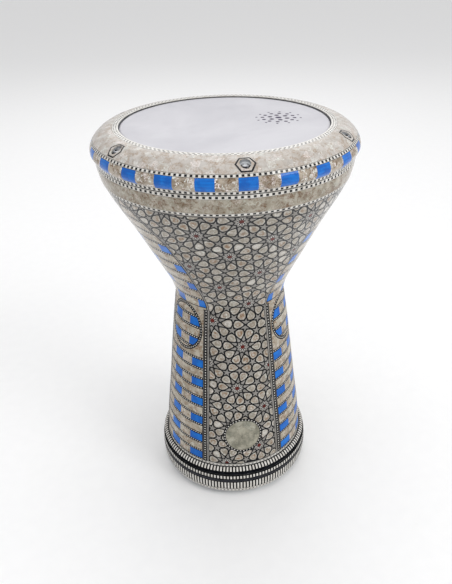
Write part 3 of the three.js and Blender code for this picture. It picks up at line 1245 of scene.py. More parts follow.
@dataclass(frozen=True)
class StarLattice:
    """Ten-fold rosettes with five-point stars and barrels between them.

    Attributes:
        centre: Flat place of one rosette.
        side: Distance between neighbouring rosettes.
        lean: Direction of the first neighbour, degrees.
        line: Width of the black line.
        tip: Distance from a rosette's middle to its petals' tips, in units.
        notch: Distance from its middle to the kites' inner tips, in units.
    """

    centre: Point = (3.7, 214.5)
    side: float = 47.0
    lean: float = 27.2
    line: float = 1.5
    tip: float = 0.808
    notch: float = 0.587

    @property
    def unit(self) -> float:
        """Side of the tiling's pentagons and decagons."""
        return self.side / 4.236

    @property
    def petal(self) -> Loop:
        """A petal that points along +X, its tip towards the rosette.

        Returns:
            The petal's corners.
        """
        a = self.unit
        upper = [(1.462 * a, 0.475 * a), (1.961 * a, 0.475 * a), (2.118 * a, 0.0)]
        return [(self.tip * a, 0.0), (1.462 * a, -0.475 * a), (1.961 * a, -0.475 * a),
                upper[2], upper[1], upper[0]]

    def rosettes(self, reach: int = 9) -> Iterator[Point]:
        """Centres of the rosettes about the first one.

        Args:
            reach: How many rosettes to each side.

        Yields:
            Each rosette's centre.
        """
        for i in range(-reach, reach + 1):
            for j in range(-reach, reach + 1):
                x, y = polar(self.centre, i * self.side, self.lean)
                yield polar((x, y), j * self.side, self.lean - 72.0)

    def draw(self, sheet: Marquetry, chance: Random) -> None:
        """Adds every cell that can touch the sheet.

        Args:
            sheet: The pattern being filled.
            chance: Seeded source of the cells' tones.
        """
        xs, ys = zip(*sheet.border)
        reach = 2.7 * self.unit
        for centre in self.rosettes():
            if not (min(xs) - reach < centre[0] < max(xs) + reach
                    and min(ys) - reach < centre[1] < max(ys) + reach):
                continue
            self._rosette(sheet, centre, chance)
            self._stars(sheet, centre, chance)
            self._barrel(sheet, centre, chance)

    def _cell(self, sheet: Marquetry, loop: Loop, finish: Finish, chance: Random,
              cut: float = 0.0) -> Loop:
        """Adds one cell inset by half a line, and returns its loop.

        Args:
            sheet: The pattern being filled.
            loop: The cell's corners.
            finish: Its finish.
            chance: Seeded source of the cells' tones.
            cut: How much its corners are rounded.

        Returns:
            The inset loop.
        """
        made = shrunk(loop, self.line / 2)
        if cut:
            made = rounded(made, cut, 2)
        sheet.add(made, finish, 2, chance.random(), True)
        return made

    def _petal(self, sheet: Marquetry, centre: Point, degrees: float,
               chance: Random, shift: float = 0.0) -> None:
        """Adds a petal and its brown heart.

        Args:
            sheet: The pattern being filled.
            centre: Middle of the rosette.
            degrees: Where it points.
            chance: Seeded source of the cells' tones.
            shift: Distance moved outwards first.
        """
        shape = [(x + shift, y) for x, y in self.petal]
        loop = self._cell(sheet, spin(shape, centre, degrees), Finish.PETAL, chance, 2.1)
        mx = sum(x for x, _ in loop) / len(loop)
        my = sum(y for _, y in loop) / len(loop)
        heart = [(mx + (x - mx) * 0.5, my + (y - my) * 0.5) for x, y in loop[::2]]
        sheet.add(heart, Finish.PETAL, 3, sheet.cells[-1].tone, True, 1.0)

    def _rosette(self, sheet: Marquetry, centre: Point, chance: Random) -> None:
        """Adds a rosette's petals, kites, middle star and beaded heart.

        Args:
            sheet: The pattern being filled.
            centre: The rosette's middle.
            chance: Seeded source of the cells' tones.
        """
        a = self.unit
        for k in range(10):
            way = self.lean + 36 * k
            self._petal(sheet, centre, way, chance)
            kite = [(self.notch * a, 0.0), (0.769 * a, -0.25 * a), (1.539 * a, 0.0),
                    (0.769 * a, 0.25 * a)]
            self._cell(sheet, spin(kite, centre, way - 18), Finish.GROUND, chance)
        star = [polar(centre, (self.notch if k % 2 else self.tip) * a, self.lean + 18 * k)
                for k in range(20)]
        self._cell(sheet, star, Finish.GROUND, chance)
        sheet.add(circle(*centre, 4.5, 20), Finish.BONE, 3, 0.5, True)
        for k in range(10):
            wedge = [(2.3, -0.55), (4.4, -0.85), (4.4, 0.85), (2.3, 0.55)]
            sheet.add(spin(wedge, centre, self.lean + 36 * k), Finish.JET, 4, 0.5, True)
        sheet.add(circle(*centre, 2.5, 10), Finish.RED, 5, 0.5, True)

    def _stars(self, sheet: Marquetry, centre: Point, chance: Random) -> None:
        """Adds the four five-point stars that belong to a rosette.

        Args:
            sheet: The pattern being filled.
            centre: The rosette's middle.
            chance: Seeded source of the cells' tones.
        """
        a = self.unit
        for way in (18, -18, 90, 126):
            middle = polar(centre, 2.227 * a, self.lean + way)
            star = [polar(middle, (0.688 if k % 2 == 0 else 0.263) * a,
                          self.lean + way + 180 + 36 * k) for k in range(10)]
            self._cell(sheet, star, Finish.GROUND, chance)

    def _barrel(self, sheet: Marquetry, centre: Point, chance: Random) -> None:
        """Adds the two arrowheads and two petals of the barrel beside a rosette.

        Args:
            sheet: The pattern being filled.
            centre: The rosette's middle.
            chance: Seeded source of the cells' tones.
        """
        a = self.unit
        middle = polar(centre, self.side * math.sin(math.radians(36)), self.lean + 54)
        for flip in (0, 180):
            arrow = [(0.0, 0.0), (0.4755 * a, -0.6545 * a), (0.4755 * a, -0.1545 * a),
                     (0.951 * a, 0.0), (0.4755 * a, 0.1545 * a), (0.4755 * a, 0.6545 * a)]
            self._cell(sheet, spin(arrow, middle, self.lean + 54 + flip), Finish.GROUND,
                       chance)
            self._petal(sheet, middle, self.lean - 36 + flip, chance,
                        -self.tip * a)


@dataclass
class StarPanels:
    """The three tall panels of rosettes, and the medallion let into the front one.

    Attributes:
        surface: The drum's inlaid surface.
        thickness: The inlay's thickness.
        margin: Plain border beside the pattern.
        end_margin: Plain border under and over the pattern.
        edge_line: Width of the black line round the pattern.
        medallion: The medallion's height, disc radius and rim radius.
        shifts: How far the pattern of each panel is moved.
        names: Piece name and CAD node of each panel.
    """

    surface: DrumSurface
    thickness: float = 1.1
    margin: float = 2.4
    end_margin: float = 1.6
    edge_line: float = 0.8
    medallion: tuple[float, float, float] = (91.5, 21.3, 24.5)
    shifts: tuple[Point, ...] = ((0.0, 0.0), (-14.0, 19.0), (17.0, -11.0))
    names: tuple[tuple[str, str], ...] = (
        ("front", "star_panel_front"), ("right_rear", "star_panel_right_rear"),
        ("left_rear", "star_panel_left_rear"))

    def border(self, inset: float, ends: float) -> Loop:
        """Outline of a panel in flat coordinates.

        Args:
            inset: Distance taken off its sides.
            ends: Distance taken off its foot and top.

        Returns:
            The outline, counter-clockwise.
        """
        s = self.surface
        low, high = s.low + ends, s.flat_y(s.high) - ends
        ys = sorted({low, high, s.string_top + 1, s.string_top + 1.2,
                     *(y for y in np.arange(low + 4, high - 2, 4.0))})
        right = []
        for y in ys:
            z = s.height(y)
            gap = s.string_half + 0.3 if z <= s.string_top + 1.1 else 0.2
            half = s.outline.radius_at(z) * math.radians(s.edge(z) - gap)
            right.append((half - inset, y))
        return right + [(-x, y) for x, y in reversed(right)]

    def build(self) -> Iterator[Piece]:
        """Builds the panels, then the medallion.

        Yields:
            Each finished piece.
        """
        z, disc, rim = self.medallion
        for k, (name, node) in enumerate(self.names):
            (x, y), (right, up) = StarLattice.centre, self.shifts[k]
            lattice = StarLattice((x + right, y + up))
            sheet = Marquetry(self.border(0.0, 0.0), Finish.GROUND,
                              self.border(self.margin, self.end_margin))
            sheet.add(self.border(self.margin - self.edge_line,
                                  self.end_margin - self.edge_line), Finish.LINE)
            lattice.draw(sheet, Random(31 + k))
            if k == 0:
                sheet.add(circle(0.0, z, rim + 0.3, 72), None, 9)
            skin = Skin()
            middle = k * self.surface.panel_pitch
            sheet.lay(skin, lambda x, y, d, m=middle: self.surface.lay(m, x, y, d),
                      self.thickness)
            yield settle(skin.piece("star_inlay_" + name), "shell", "star_pearl", node)
        yield self.medallion_disc(z, disc)
        yield self.medallion_string(z, disc + 0.3, rim)

    def medallion_disc(self, z: float, radius: float) -> Piece:
        """Builds the plain shell disc.

        Args:
            z: Height of its middle.
            radius: Its radius.

        Returns:
            The object.
        """
        sheet = Marquetry(circle(0.0, z, radius, 72), Finish.DISC, mesh_step=4.0)
        skin = Skin()
        sheet.lay(skin, lambda x, y, d: self.surface.lay(0.0, x, y, d), self.thickness)
        return settle(skin.piece("medallion_shell_disc"), "shell", "disc_pearl",
                      "medallion_disc")

    def medallion_string(self, z: float, inner: float, outer: float) -> Piece:
        """Builds the beaded ring round the disc.

        Args:
            z: Height of its middle.
            inner: Its inner radius.
            outer: Its outer radius.

        Returns:
            The object.
        """
        sheet = Marquetry(circle(0.0, z, outer, 108), Finish.JET, mesh_step=4.0)
        sheet.add(circle(0.0, z, inner, 108), None, 9)
        count = 36
        for k in range(count):
            bead = [(inner + 0.5, -0.75), (outer - 1.2, -0.75), (outer - 1.2, 0.75),
                    (inner + 0.5, 0.75)]
            sheet.add(spin(bead, (0.0, z), TURN * k / count), Finish.BONE, 3)
        skin = Skin()
        sheet.lay(skin, lambda x, y, d: self.surface.lay(0.0, x, y, d), self.thickness)
        return settle(skin.piece("medallion_beaded_ring"), "shell", "string",
                      "medallion_string")


@dataclass
class SidePanels:
    """The three panels of level pearl bands, blue tiles and rope lines.

    Attributes:
        surface: The drum's inlaid surface.
        thickness: The inlay's thickness.
        flat_radius: Radius at which flat x is a distance.
        top: Height where the panel ends.
        band: Height of one pearl band.
        first_line: Height of the lowest rope.
        rope_half: Half of a rope's width.
        dash: Pitch, length and height of a rope's dashes.
        tile_degrees: Width of a blue tile, degrees.
        bowl_tile_cut: Share taken off the tiles of the bowl.
        tile_top: Height where the edge tiles end.
        loop_height: Height of the rope ring's middle.
        loop_size: Half width and half height of the rope ring.
        loop_shift: How far tiles inside the ring move in.
        loop_width: Width of the ring's rope.
        reach: Flat distance that bands and ropes run to each side.
        names: Piece name, CAD node and tile side of each panel.
    """

    surface: DrumSurface
    thickness: float = 1.1
    flat_radius: float = 80.0
    top: float = 403.6
    band: float = 13.25
    first_line: float = 48.975
    rope_half: float = 1.7
    dash: tuple[float, float, float] = (3.3, 1.5, 1.1)
    tile_degrees: float = 12.7
    bowl_tile_cut: float = 0.4
    tile_top: float = 360.0
    loop_height: float = 230.5
    loop_size: Point = (33.5, 31.0)
    loop_shift: float = 6.0
    loop_width: float = 4.3
    reach: float = 60.0
    names: tuple[tuple[str, str, int], ...] = (
        ("right", "side_panel_right", -1), ("rear", "side_panel_rear", 1),
        ("left", "side_panel_left", 1))

    def half(self, z: float) -> float:
        """Half width of a side panel in flat millimetres at a height.

        Args:
            z: The height.

        Returns:
            The half width.
        """
        s = self.surface
        gap = s.string_half + 0.3 if z <= s.string_top + 1.1 else 0.2
        return math.radians(60.0 - s.edge(z) - gap) * self.flat_radius

    def border(self, inset: float = 0.0) -> Loop:
        """Outline of a side panel.

        Args:
            inset: Distance taken off every side.

        Returns:
            The outline, counter-clockwise.
        """
        s = self.surface
        zs = sorted({s.low + inset, self.top - inset, s.string_top + 1,
                     s.string_top + 1.2, *np.arange(s.low + 4, self.top - 2, 4.0)})
        right = [(max(0.05, self.half(z) - inset), z) for z in zs]
        return right + [(-x, z) for x, z in reversed(right)]

    def build(self) -> Iterator[Piece]:
        """Builds the three panels.

        Yields:
            Each finished piece.
        """
        for k, (name, node, front) in enumerate(self.names):
            sheet = Marquetry(self.border(), Finish.LINE, self.border(0.7), 4.5)
            chance = Random(57 + k)
            self._bands(sheet, front, chance)
            self._loop(sheet)
            skin = Skin()
            middle = 60.0 + k * self.surface.panel_pitch
            sheet.lay(skin, lambda x, z, d, m=middle: self.surface.outline.place(
                m + math.degrees(x / self.flat_radius), self.surface.outline.along(z), d),
                self.thickness)
            yield settle(skin.piece("banded_inlay_" + name), "shell", "pearl", node)

    def _bands(self, sheet: Marquetry, front: int, chance: Random) -> None:
        """Adds pearl bands, the blue tiles in every second one, and the ropes between.

        Args:
            sheet: The pattern being filled.
            front: Side the tiles are on, -1 or 1.
            chance: Seeded source of the cells' tones.
        """
        wide = self.reach
        tile = math.radians(self.tile_degrees) * self.flat_radius
        for n in range(-1, 28):
            low = self.first_line + n * self.band
            high = low + self.band
            middle = (low + high) / 2
            sheet.add([(-wide, low), (wide, low), (wide, high), (-wide, high)],
                      Finish.PEARL, 1, chance.random(), True)
            if n % 2 == 0:
                start = self.half(min(max(middle, 50.0), self.top))
                if middle < self.surface.string_top:
                    start = 2 * tile
                if abs(middle - self.loop_height) < self.loop_size[1]:
                    start -= self.loop_shift
                for k in (0, 2):
                    near, far = start - k * tile, start - (k + 1) * tile
                    if k == 0 and middle > self.surface.string_top:
                        near, far = near + 9.0, far + self.bowl_tile_cut * tile
                    if k == 0 and middle > self.tile_top:
                        continue
                    loop = [(front * near, low), (front * near, high),
                            (front * far, high), (front * far, low)]
                    sheet.add(loop, Finish.BLUE, 2, chance.random(), True)
            self._rope(sheet, low)

    def _rope(self, sheet: Marquetry, z: float) -> None:
        """Adds one level rope line.

        Args:
            sheet: The pattern being filled.
            z: Height of its middle.
        """
        wide = self.reach
        sheet.add([(-wide, z - self.rope_half), (wide, z - self.rope_half),
                   (wide, z + self.rope_half), (-wide, z + self.rope_half)],
                  Finish.JET, 3, 0.5, True)
        pitch, length, tall = self.dash
        share = self.flat_radius / self.surface.outline.radius_at(min(max(z, 50), 393))
        pitch, length = pitch * share, length * share
        for k in range(int(-wide / pitch), int(wide / pitch)):
            x = (k + 0.5) * pitch
            if abs(x) < self.half(min(max(z, 50), self.top)) + 3:
                sheet.add([(x - length / 2 - 0.25, z - tall / 2),
                           (x + length / 2 - 0.25, z - tall / 2),
                           (x + length / 2 + 0.25, z + tall / 2),
                           (x - length / 2 + 0.25, z + tall / 2)], Finish.BONE, 4, 0.5,
                          True)

    def _loop(self, sheet: Marquetry) -> None:
        """Adds the rope ring at the waist and the plain corners outside it.

        Args:
            sheet: The pattern being filled.
        """
        wide, tall = self.loop_size
        count = 108
        for side in (-1, 1):
            turns = [math.pi * k / 36 - math.pi / 2 for k in range(37)]
            arc = [(side * wide * math.cos(t), self.loop_height + tall * math.sin(t))
                   for t in turns]
            corner = arc + [(side * 40.0, self.loop_height + tall),
                            (side * 40.0, self.loop_height - tall)]
            sheet.add(corner, Finish.PEARL, 5, 0.3, True)
        for k in range(count):
            for finish, low, high, rank in (
                    (Finish.JET, 0.0, self.loop_width, 6),
                    (Finish.BONE, 1.55, self.loop_width - 1.55, 7)):
                if finish is Finish.BONE and k % 2:
                    continue
                lean = 0.2 if finish is Finish.BONE else 0.0
                quad = []
                long = 1.0 if finish is Finish.JET else 0.75
                for step, depth in ((0, high), (long, high), (long, low), (0, low)):
                    t = math.tau * (k + step + (lean if depth == high else 0)) / count
                    quad.append(((wide - depth) * math.cos(t),
                                 self.loop_height + (tall - depth) * math.sin(t)))
                sheet.add(quad, finish, rank, 0.5, True)


@dataclass
class StemStrings:
    """The six beaded strings that edge the star panels below the waist.

    Attributes:
        surface: The drum's inlaid surface.
        columns: Degrees from a string's middle to its column lines.
        bone_share: Share of the pitch that a white bead takes.
        bead_pitch: Mean height of a bead or gap.
        thickness: The string's thickness.
    """

    surface: DrumSurface
    columns: tuple[float, ...] = (-1.9, -1.62, -0.45, 0.45, 1.62, 1.9)
    bone_share: float = 0.42
    bead_pitch: float = 1.8
    thickness: float = 1.1

    def build(self) -> Iterator[Piece]:
        """Builds the strings.

        Yields:
            Each finished piece.
        """
        s = self.surface
        count = 2 * round((s.string_top - s.low) / self.bead_pitch / 2)
        heights = [s.low + (s.string_top - s.low) * (k + (1 - 2 * self.bone_share) * (k % 2))
                   / count for k in range(count + 1)]
        lengths = [s.outline.along(z) for z in heights]
        for k, edge in enumerate(("front", "right_rear", "left_rear")):
            for side, hand in ((-1, "left"), (1, "right")):
                middle = k * s.panel_pitch + side * s.string_azimuth
                skin = Skin()
                skin.grid(lambda i, j, d, m=middle: s.outline.place(
                    m + self.columns[i], lengths[j], d), 5, count, self.finish,
                    self.thickness, False)
                name = f"{edge}_{hand}"
                yield settle(skin.piece("edge_string_" + name), "shell", "string",
                             "stem_string_" + name)

    @staticmethod
    def finish(column: int, row: int) -> Finish:
        """Finish of one cell of a string.

        Args:
            column: The cell's column.
            row: The cell's row.

        Returns:
            The finish.
        """
        if column in (0, 4):
            return Finish.GROUND
        if column in (1, 3):
            return Finish.JET
        return Finish.BONE if row % 2 else Finish.JET


@dataclass
class Shoulder:
    """Two strings and a pearl band under the tension ring.

    Attributes:
        lower_string: Outline of the string under the band.
        band_profile: Outline of the pearl band.
        upper_string: Outline of the string over the band.
        margins: Share of a string left pale below and above its squares.
    """

    lower_string: Profile = ((132.9, 404.0), (133.8, 406.4))
    band_profile: Profile = ((134.0, 406.8), (136.6, 418.7), (137.0, 421.4))
    upper_string: Profile = ((137.1, 421.8), (137.1, 425.0))
    margins: Point = (0.14, 0.14)

    def build(self) -> Iterator[Piece]:
        """Builds the three rings.

        Yields:
            Each finished piece.
        """
        low = string_skin("shoulder_string_low", self.lower_string, 149, 0.5, self.margins)
        yield settle(low, "shell", "string", "shoulder_lower_string")
        outline = Outline(self.band_profile)
        lengths = list(np.linspace(0.0, outline.total, 8))
        # The band wears the pearl darkened as painted shade from the ring above.
        band = ring_skin("shoulder_pearl_band", outline, list(np.arange(0, 360, 2.0)),
                         lengths, lambda i, j: Finish.PAINTED_SHADE_PEARL)
        yield settle(band, "shell", "pearl", "shoulder_band")
        top = string_skin("shoulder_string_top", self.upper_string, 151, 0.46, self.margins)
        yield settle(top, "shell", "string", "shoulder_upper_string")


@dataclass
class Foot:
    """The striped rings of the foot.

    Attributes:
        string: Outline of the dotted string.
        upper_bars: Outline of the bars on the flare.
        middle_bars: Outline of the bars under the groove.
        ebony: Outline of the dark band.
        lower_bars: Outline of the bars at the base.
        edge: Outline of the edge beading.
    """

    string: Profile = ((89.6, 45.5), (89.4, 47.7))
    upper_bars: Profile = ((95.3, 40.9), (93.8, 43.4), (90.7, 45.2))
    middle_bars: Profile = ((96.8, 29.1), (96.8, 32.5), (96.3, 35.1))
    ebony: Profile = ((97.0, 24.9), (97.15, 26.8), (96.9, 28.7))
    lower_bars: Profile = ((96.7, 12.3), (97.3, 17.5), (97.1, 24.5))
    edge: Profile = ((94.7, 6.6), (96.5, 11.9))

    def build(self) -> Iterator[Piece]:
        """Builds the rings from the top down.

        Yields:
            Each finished piece.
        """
        string = string_skin("foot_string_ring", self.string, 111, 0.4)
        yield settle(string, "shell", "string", "foot_string")
        yield self.bars("foot_bar_ring_upper", self.upper_bars, 142, "foot_bars_upper", 0.06)
        yield self.bars("foot_bar_ring_middle", self.middle_bars, 145, "foot_bars_middle",
                        0.14)
        ebony = Outline(self.ebony)
        ring = ring_skin("foot_ebony_ring", ebony, list(np.arange(0, 360, 2.0)),
                         [0.0, 0.5, 1.1, 1.9, 2.9, ebony.total],
                         lambda i, j: Finish.EBONY)
        yield settle(ring, "shell", "ebony", "foot_ebony_band")
        yield self.bars("foot_bar_ring_lower", self.lower_bars, 149, "foot_bars_lower", 0.05)
        bead = string_skin("foot_edge_beads", self.edge, 129, 0.45, (0.3, 0.35))
        yield settle(bead, "shell", "string", "foot_edge_beading")

    @staticmethod
    def bars(name: str, points: Sequence[Point], count: int, node: str,
             rim: float) -> Piece:
        """Builds one ring of upright bars.

        Args:
            name: The piece's name.
            points: The ring's outline.
            count: Pale bars round the drum.
            node: CAD node it stands for.
            rim: Share of the height left black at each end.

        Returns:
            The object.
        """
        outline = Outline(points)
        ends = rim * outline.total
        lengths = [0.0, *np.linspace(ends, outline.total - ends, 6), outline.total]
        ring = ring_skin(name, outline, beads(count, 0.48), lengths,
                         lambda i, j: Finish.BONE if i % 2 and 0 < j < 6 else Finish.JET)
        return settle(ring, "shell", "bars", node)


def bolt_azimuths() -> list[float]:
    """Azimuths of the six tension bolts."""
    return [60.0 * k for k in range(6)]


def cup(skin: Skin, azimuth: float, radius: float, low: float,
        top: Callable[[float], float]) -> None:
    """Adds a round blind hole on the bolt circle.

    Args:
        skin: What the faces are added to.
        azimuth: Where it is.
        radius: Its radius.
        low: Height of its floor.
        top: Gives the height of its rim at a distance from the drum's axis.
    """
    x, y, _ = on_drum(TensionBolts.circle_radius, azimuth, 0.0)
    rim, floor = [], []
    for k in range(HOLE):
        px, py = polar((x, y), radius, TURN * k / HOLE)
        rim.append(skin.point(Vector((px, py, top(math.hypot(px, py))))))
        floor.append(skin.point(Vector((px, py, low))))
    for k in range(HOLE):
        n = (k + 1) % HOLE
        skin.face((rim[k], rim[n], floor[n], floor[k]), Finish.CAST)
    skin.face(floor, Finish.CAST)


@dataclass
class Casting:
    """The cast shell: bearing edge, flange, hollow bore and foot.

    Attributes:
        surface: The drum's inlaid surface.
        bed: Depth of the casting under the inlay.
        bearing_profile: Edge that the head bears on.
        bore_profile: Hollow inside, downwards.
        foot_profile: Outside of the foot, upwards.
        groove: Which sides of the foot's outside are the dark groove.
        insert_hole: Radius of a bolt insert's hole.
        insert_floor: Height of that hole's floor.
        flange_profile: Rim that carries the inserts.
    """

    surface: DrumSurface
    bed: float = 1.85
    bearing_profile: Profile = (
        (108.4, 424.9), (108.4, 451.2), (107.4, 452.6), (105.4, 452.6), (103.6, 450.8))
    bore_profile: Profile = (
        (103.6, 426.0), (118.4, 401.0), (99.0, 353.7), (79.0, 313.7), (70.0, 295.0),
        (59.6, 267.0), (58.4, 256.0), (66.6, 193.7), (79.6, 83.7), (82.0, 46.0),
        (82.6, 0.0))
    foot_profile: Profile = (
        (88.4, 0.0), (92.0, 3.4), (92.8, 6.2), (94.9, 12.0), (95.6, 17.0),
        (94.6, 35.2), (91.8, 35.8), (91.8, 40.6), (87.6, 44.6))
    groove: tuple[int, ...] = (5, 6, 7)
    insert_hole: float = 4.25
    insert_floor: float = 409.5
    flange_profile: Profile = ((135.2, 418.7), (135.4, 424.9))

    def build(self) -> Iterator[Piece]:
        """Builds the casting.

        Yields:
            The finished piece.
        """
        smooth = Outline(self.surface.profile)
        under = [(smooth.radius_at(z) - self.bed, z)
                 for z in np.linspace(self.surface.low, self.surface.high, 60)]
        bore = Outline(self.bore_profile)
        inner = [(float(np.interp(s, bore.length, bore.radius)),
                  float(np.interp(s, bore.length, bore.height)))
                 for s in np.linspace(0.0, bore.total, 70)]
        outside = [*self.foot_profile, *under, *self.flange_profile]
        skin = Skin()
        skin.lathe(inner + outside,
                   lambda i: (Finish.EBONY if i - len(inner) in self.groove
                              else Finish.CAST),
                   closed=False)
        skin.lathe([*self.bearing_profile, inner[0]], lambda i: Finish.CAST,
                   closed=False)
        flange_r, flange_z = self.flange_profile[-1]
        face = Marquetry(circle(0.0, 0.0, flange_r, ROUND), Finish.CAST, mesh_step=9.0)
        face.add(circle(0.0, 0.0, self.bearing_profile[0][0], ROUND), None, 9)
        for azimuth in bolt_azimuths():
            x, y, _ = on_drum(TensionBolts.circle_radius, azimuth, 0.0)
            face.add(circle(x, y, self.insert_hole, HOLE), None, 9)
            cup(skin, azimuth, self.insert_hole, self.insert_floor, lambda r: flange_z)
        face.lay(skin, lambda x, y, d: Vector((x, y, flange_z)))
        yield settle(skin.piece("cast_shell", weld=True), "shell", "cast_metal",
                     "shell_casting")


@dataclass
class TensionRing:
    """The bolted ring: casting, tiles, strings, pearl top and the bolts' bezels.

    Attributes:
        lower_string: String under the tiles.
        tile_profile: Band of tiles.
        upper_string: String over the tiles.
        top_profile: Pearl top, from the rim inwards.
        bore_string: Dashed string at the bore.
        casting_profile: The cast ring under the inlays.
        tile_count: Blue tiles round the ring.
        tile_share: Share of the pitch that a tile takes.
        flat_radius: Radius at which flat x is a distance.
        bezel_middle: Radius of a bezel's middle.
        bezel_corner: Distance to a bezel's corners.
        bezel_line: Width of a bezel's black edge.
        counterbore: Radius of the hole for a bolt head.
        seat: Height of that hole's floor.
        thickness: Thickness of the pearl top and the bezels.
        bore_rows: Where the rows of the dashed string begin.
        tile_joint: Degrees from a tile's edge to its first column line.
        top: The sampled pearl top.
    """

    lower_string: Profile = ((137.7, 426.3), (138.6, 429.2))
    tile_profile: Profile = ((138.8, 429.6), (141.1, 433.2), (140.8, 438.0), (138.9, 441.9))
    upper_string: Profile = ((138.7, 442.3), (137.0, 444.5))
    top_profile: Profile = ((136.7, 444.9), (132.0, 449.2), (125.5, 452.8), (116.4, 454.8))
    bore_string: Profile = ((116.1, 454.85), (110.15, 455.0))
    casting_profile: Profile = (
        (117.2, 427.0), (134.2, 427.0), (137.0, 429.6), (139.2, 433.3), (139.0, 437.6),
        (137.2, 441.1), (135.3, 443.6), (131.0, 447.5), (124.9, 450.9), (116.0, 453.1),
        (110.0, 453.3), (110.0, 441.7), (117.2, 441.7))
    tile_count: int = 23
    tile_share: float = 0.46
    flat_radius: float = 128.0
    bezel_middle: float = 129.5
    bezel_corner: float = 9.7
    bezel_line: float = 1.75
    counterbore: float = 5.4
    seat: float = 443.4
    thickness: float = 1.1
    bore_rows: tuple[float, ...] = (0.0, 0.7, 2.1, 3.1, 4.5, 5.2)
    tile_joint: float = 0.22
    top: Outline = field(init=False)

    def __post_init__(self) -> None:
        """Samples the pearl top's outline."""
        self.top = Outline(self.top_profile)

    def lift(self, x: float, along: float, depth: float) -> Vector:
        """Place on the pearl top of a flat point."""
        return self.top.place(math.degrees(x / self.flat_radius), along, depth)

    def bezel_loop(self, azimuth: float, corner: float) -> Loop:
        """Hexagon on the pearl top with its points sideways."""
        middle = float(np.interp(-self.bezel_middle, -self.top.radius, self.top.length))
        return circle(math.radians(azimuth) * self.flat_radius, middle, corner, 6)

    def bore_loop(self, azimuth: float, radius: float) -> Loop:
        """Edge of a bolt's upright counterbore, seen on the sloping top.

        Args:
            azimuth: The bolt's azimuth.
            radius: The hole's radius.

        Returns:
            The loop in flat coordinates.
        """
        made = []
        for x, y in circle(0.0, -TensionBolts.circle_radius, radius, HOLE):
            turn = math.atan2(x, -y)
            along = float(np.interp(-math.hypot(x, y), -self.top.radius, self.top.length))
            made.append(((math.radians(azimuth) + turn) * self.flat_radius, along))
        return made

    def build(self) -> Iterator[Piece]:
        """Builds the ring from the inside out.

        Yields:
            Each finished piece.
        """
        skin = Skin()
        skin.lathe(self.casting_profile, lambda i: Finish.CAST)
        bed = Outline(self.top_profile, smooth=False)
        for azimuth in bolt_azimuths():
            cup(skin, azimuth, self.counterbore, self.seat,
                lambda r: float(np.interp(-r, -bed.radius, bed.height)) - 0.6)
        yield settle(skin.piece("ring_casting"), "ring", "cast_metal", "tension_ring")
        lower = string_skin("ring_string_low", self.lower_string, 170, 0.5, (0.13, 0.13))
        yield settle(lower, "ring", "string", "ring_lower_string")
        yield self._tile_band()
        upper = string_skin("ring_string_top", self.upper_string, 173, 0.5, (0.09, 0.09))
        yield settle(upper, "ring", "string", "ring_upper_string")
        yield self._pearl_top()
        for k, azimuth in enumerate(bolt_azimuths()):
            yield self._bezel(k + 1, azimuth)
        inner = Outline(self.bore_string)
        dashed = ring_skin("ring_string_inner", inner, beads(141, 0.5),
                           [*self.bore_rows, inner.total], self._dashes, 0.9)
        yield settle(dashed, "ring", "string", "ring_inner_string")

    @staticmethod
    def _dashes(column: int, row: int) -> Finish:
        """Finish of one cell of the two fine dashed rows at the bore.

        Args:
            column: The cell's column.
            row: The cell's row.

        Returns:
            The finish.
        """
        if row == 1:
            return Finish.JET if column % 2 else Finish.BONE
        if row == 3:
            return Finish.BONE if column % 2 else Finish.JET
        return Finish.BONE

    def _tile_band(self) -> Piece:
        """Builds the band of blue tiles and bright pearl.

        Returns:
            The object.
        """
        outline = Outline(self.tile_profile)
        pitch = TURN / self.tile_count
        joint = self.tile_joint
        starts, kinds = [], []
        for k in range(self.tile_count):
            first = (k - self.tile_share / 2) * pitch + 0.3
            blue = self.tile_share * pitch
            cuts = [0.0, joint, *np.linspace(joint, blue - joint, 6)[1:], blue]
            cuts += list(np.linspace(blue, pitch, 8)[1:-1])
            starts += [first + c for c in cuts]
            kinds += [Finish.BLUE] * 7 + [Finish.BRIGHT_PEARL] * (len(cuts) - 7)
        lengths = list(np.linspace(0.0, outline.total, 10))
        band = ring_skin("ring_tile_ring", outline, starts, lengths,
                         lambda i, j: kinds[i])
        return settle(band, "ring", "tile", "ring_tile_band")

    def _pearl_top(self) -> Piece:
        """Builds the pearl sheet round the bezels.

        Returns:
            The object.
        """
        half = math.pi * self.flat_radius
        turns = np.linspace(-half, half, 181)
        border = ([(float(x), 0.0) for x in turns]
                  + [(float(x), self.top.total) for x in turns[::-1]])
        sheet = Marquetry(border, Finish.TOP_PEARL, mesh_step=3.4)
        for azimuth in bolt_azimuths():
            for turn in (azimuth, azimuth - TURN):
                if turn > -200:
                    sheet.add(self.bezel_loop(turn, self.bezel_corner + 0.15), None, 9)
        skin = Skin()
        sheet.lay(skin, self.lift, self.thickness, half)
        return settle(skin.piece("ring_pearl_top", weld=True), "ring", "pearl",
                      "ring_top_inlay")

    def _bezel(self, number: int, azimuth: float) -> Piece:
        """Builds one black-edged hexagon with its bolt hole.

        Args:
            number: The bolt's number.
            azimuth: The bolt's azimuth.

        Returns:
            The object.
        """
        sheet = Marquetry(self.bezel_loop(azimuth, self.bezel_corner), Finish.JET,
                          mesh_step=2.5)
        sheet.add(self.bezel_loop(azimuth, self.bezel_corner - self.bezel_line),
                  Finish.TOP_PEARL, 2)
        sheet.add(self.bore_loop(azimuth, self.counterbore - 0.2), None, 9)
        skin = Skin()
        sheet.lay(skin, self.lift, self.thickness)
        return settle(skin.piece(f"bezel_{number}"), "ring", "pearl",
                      f"bolt_bezel_{number}")


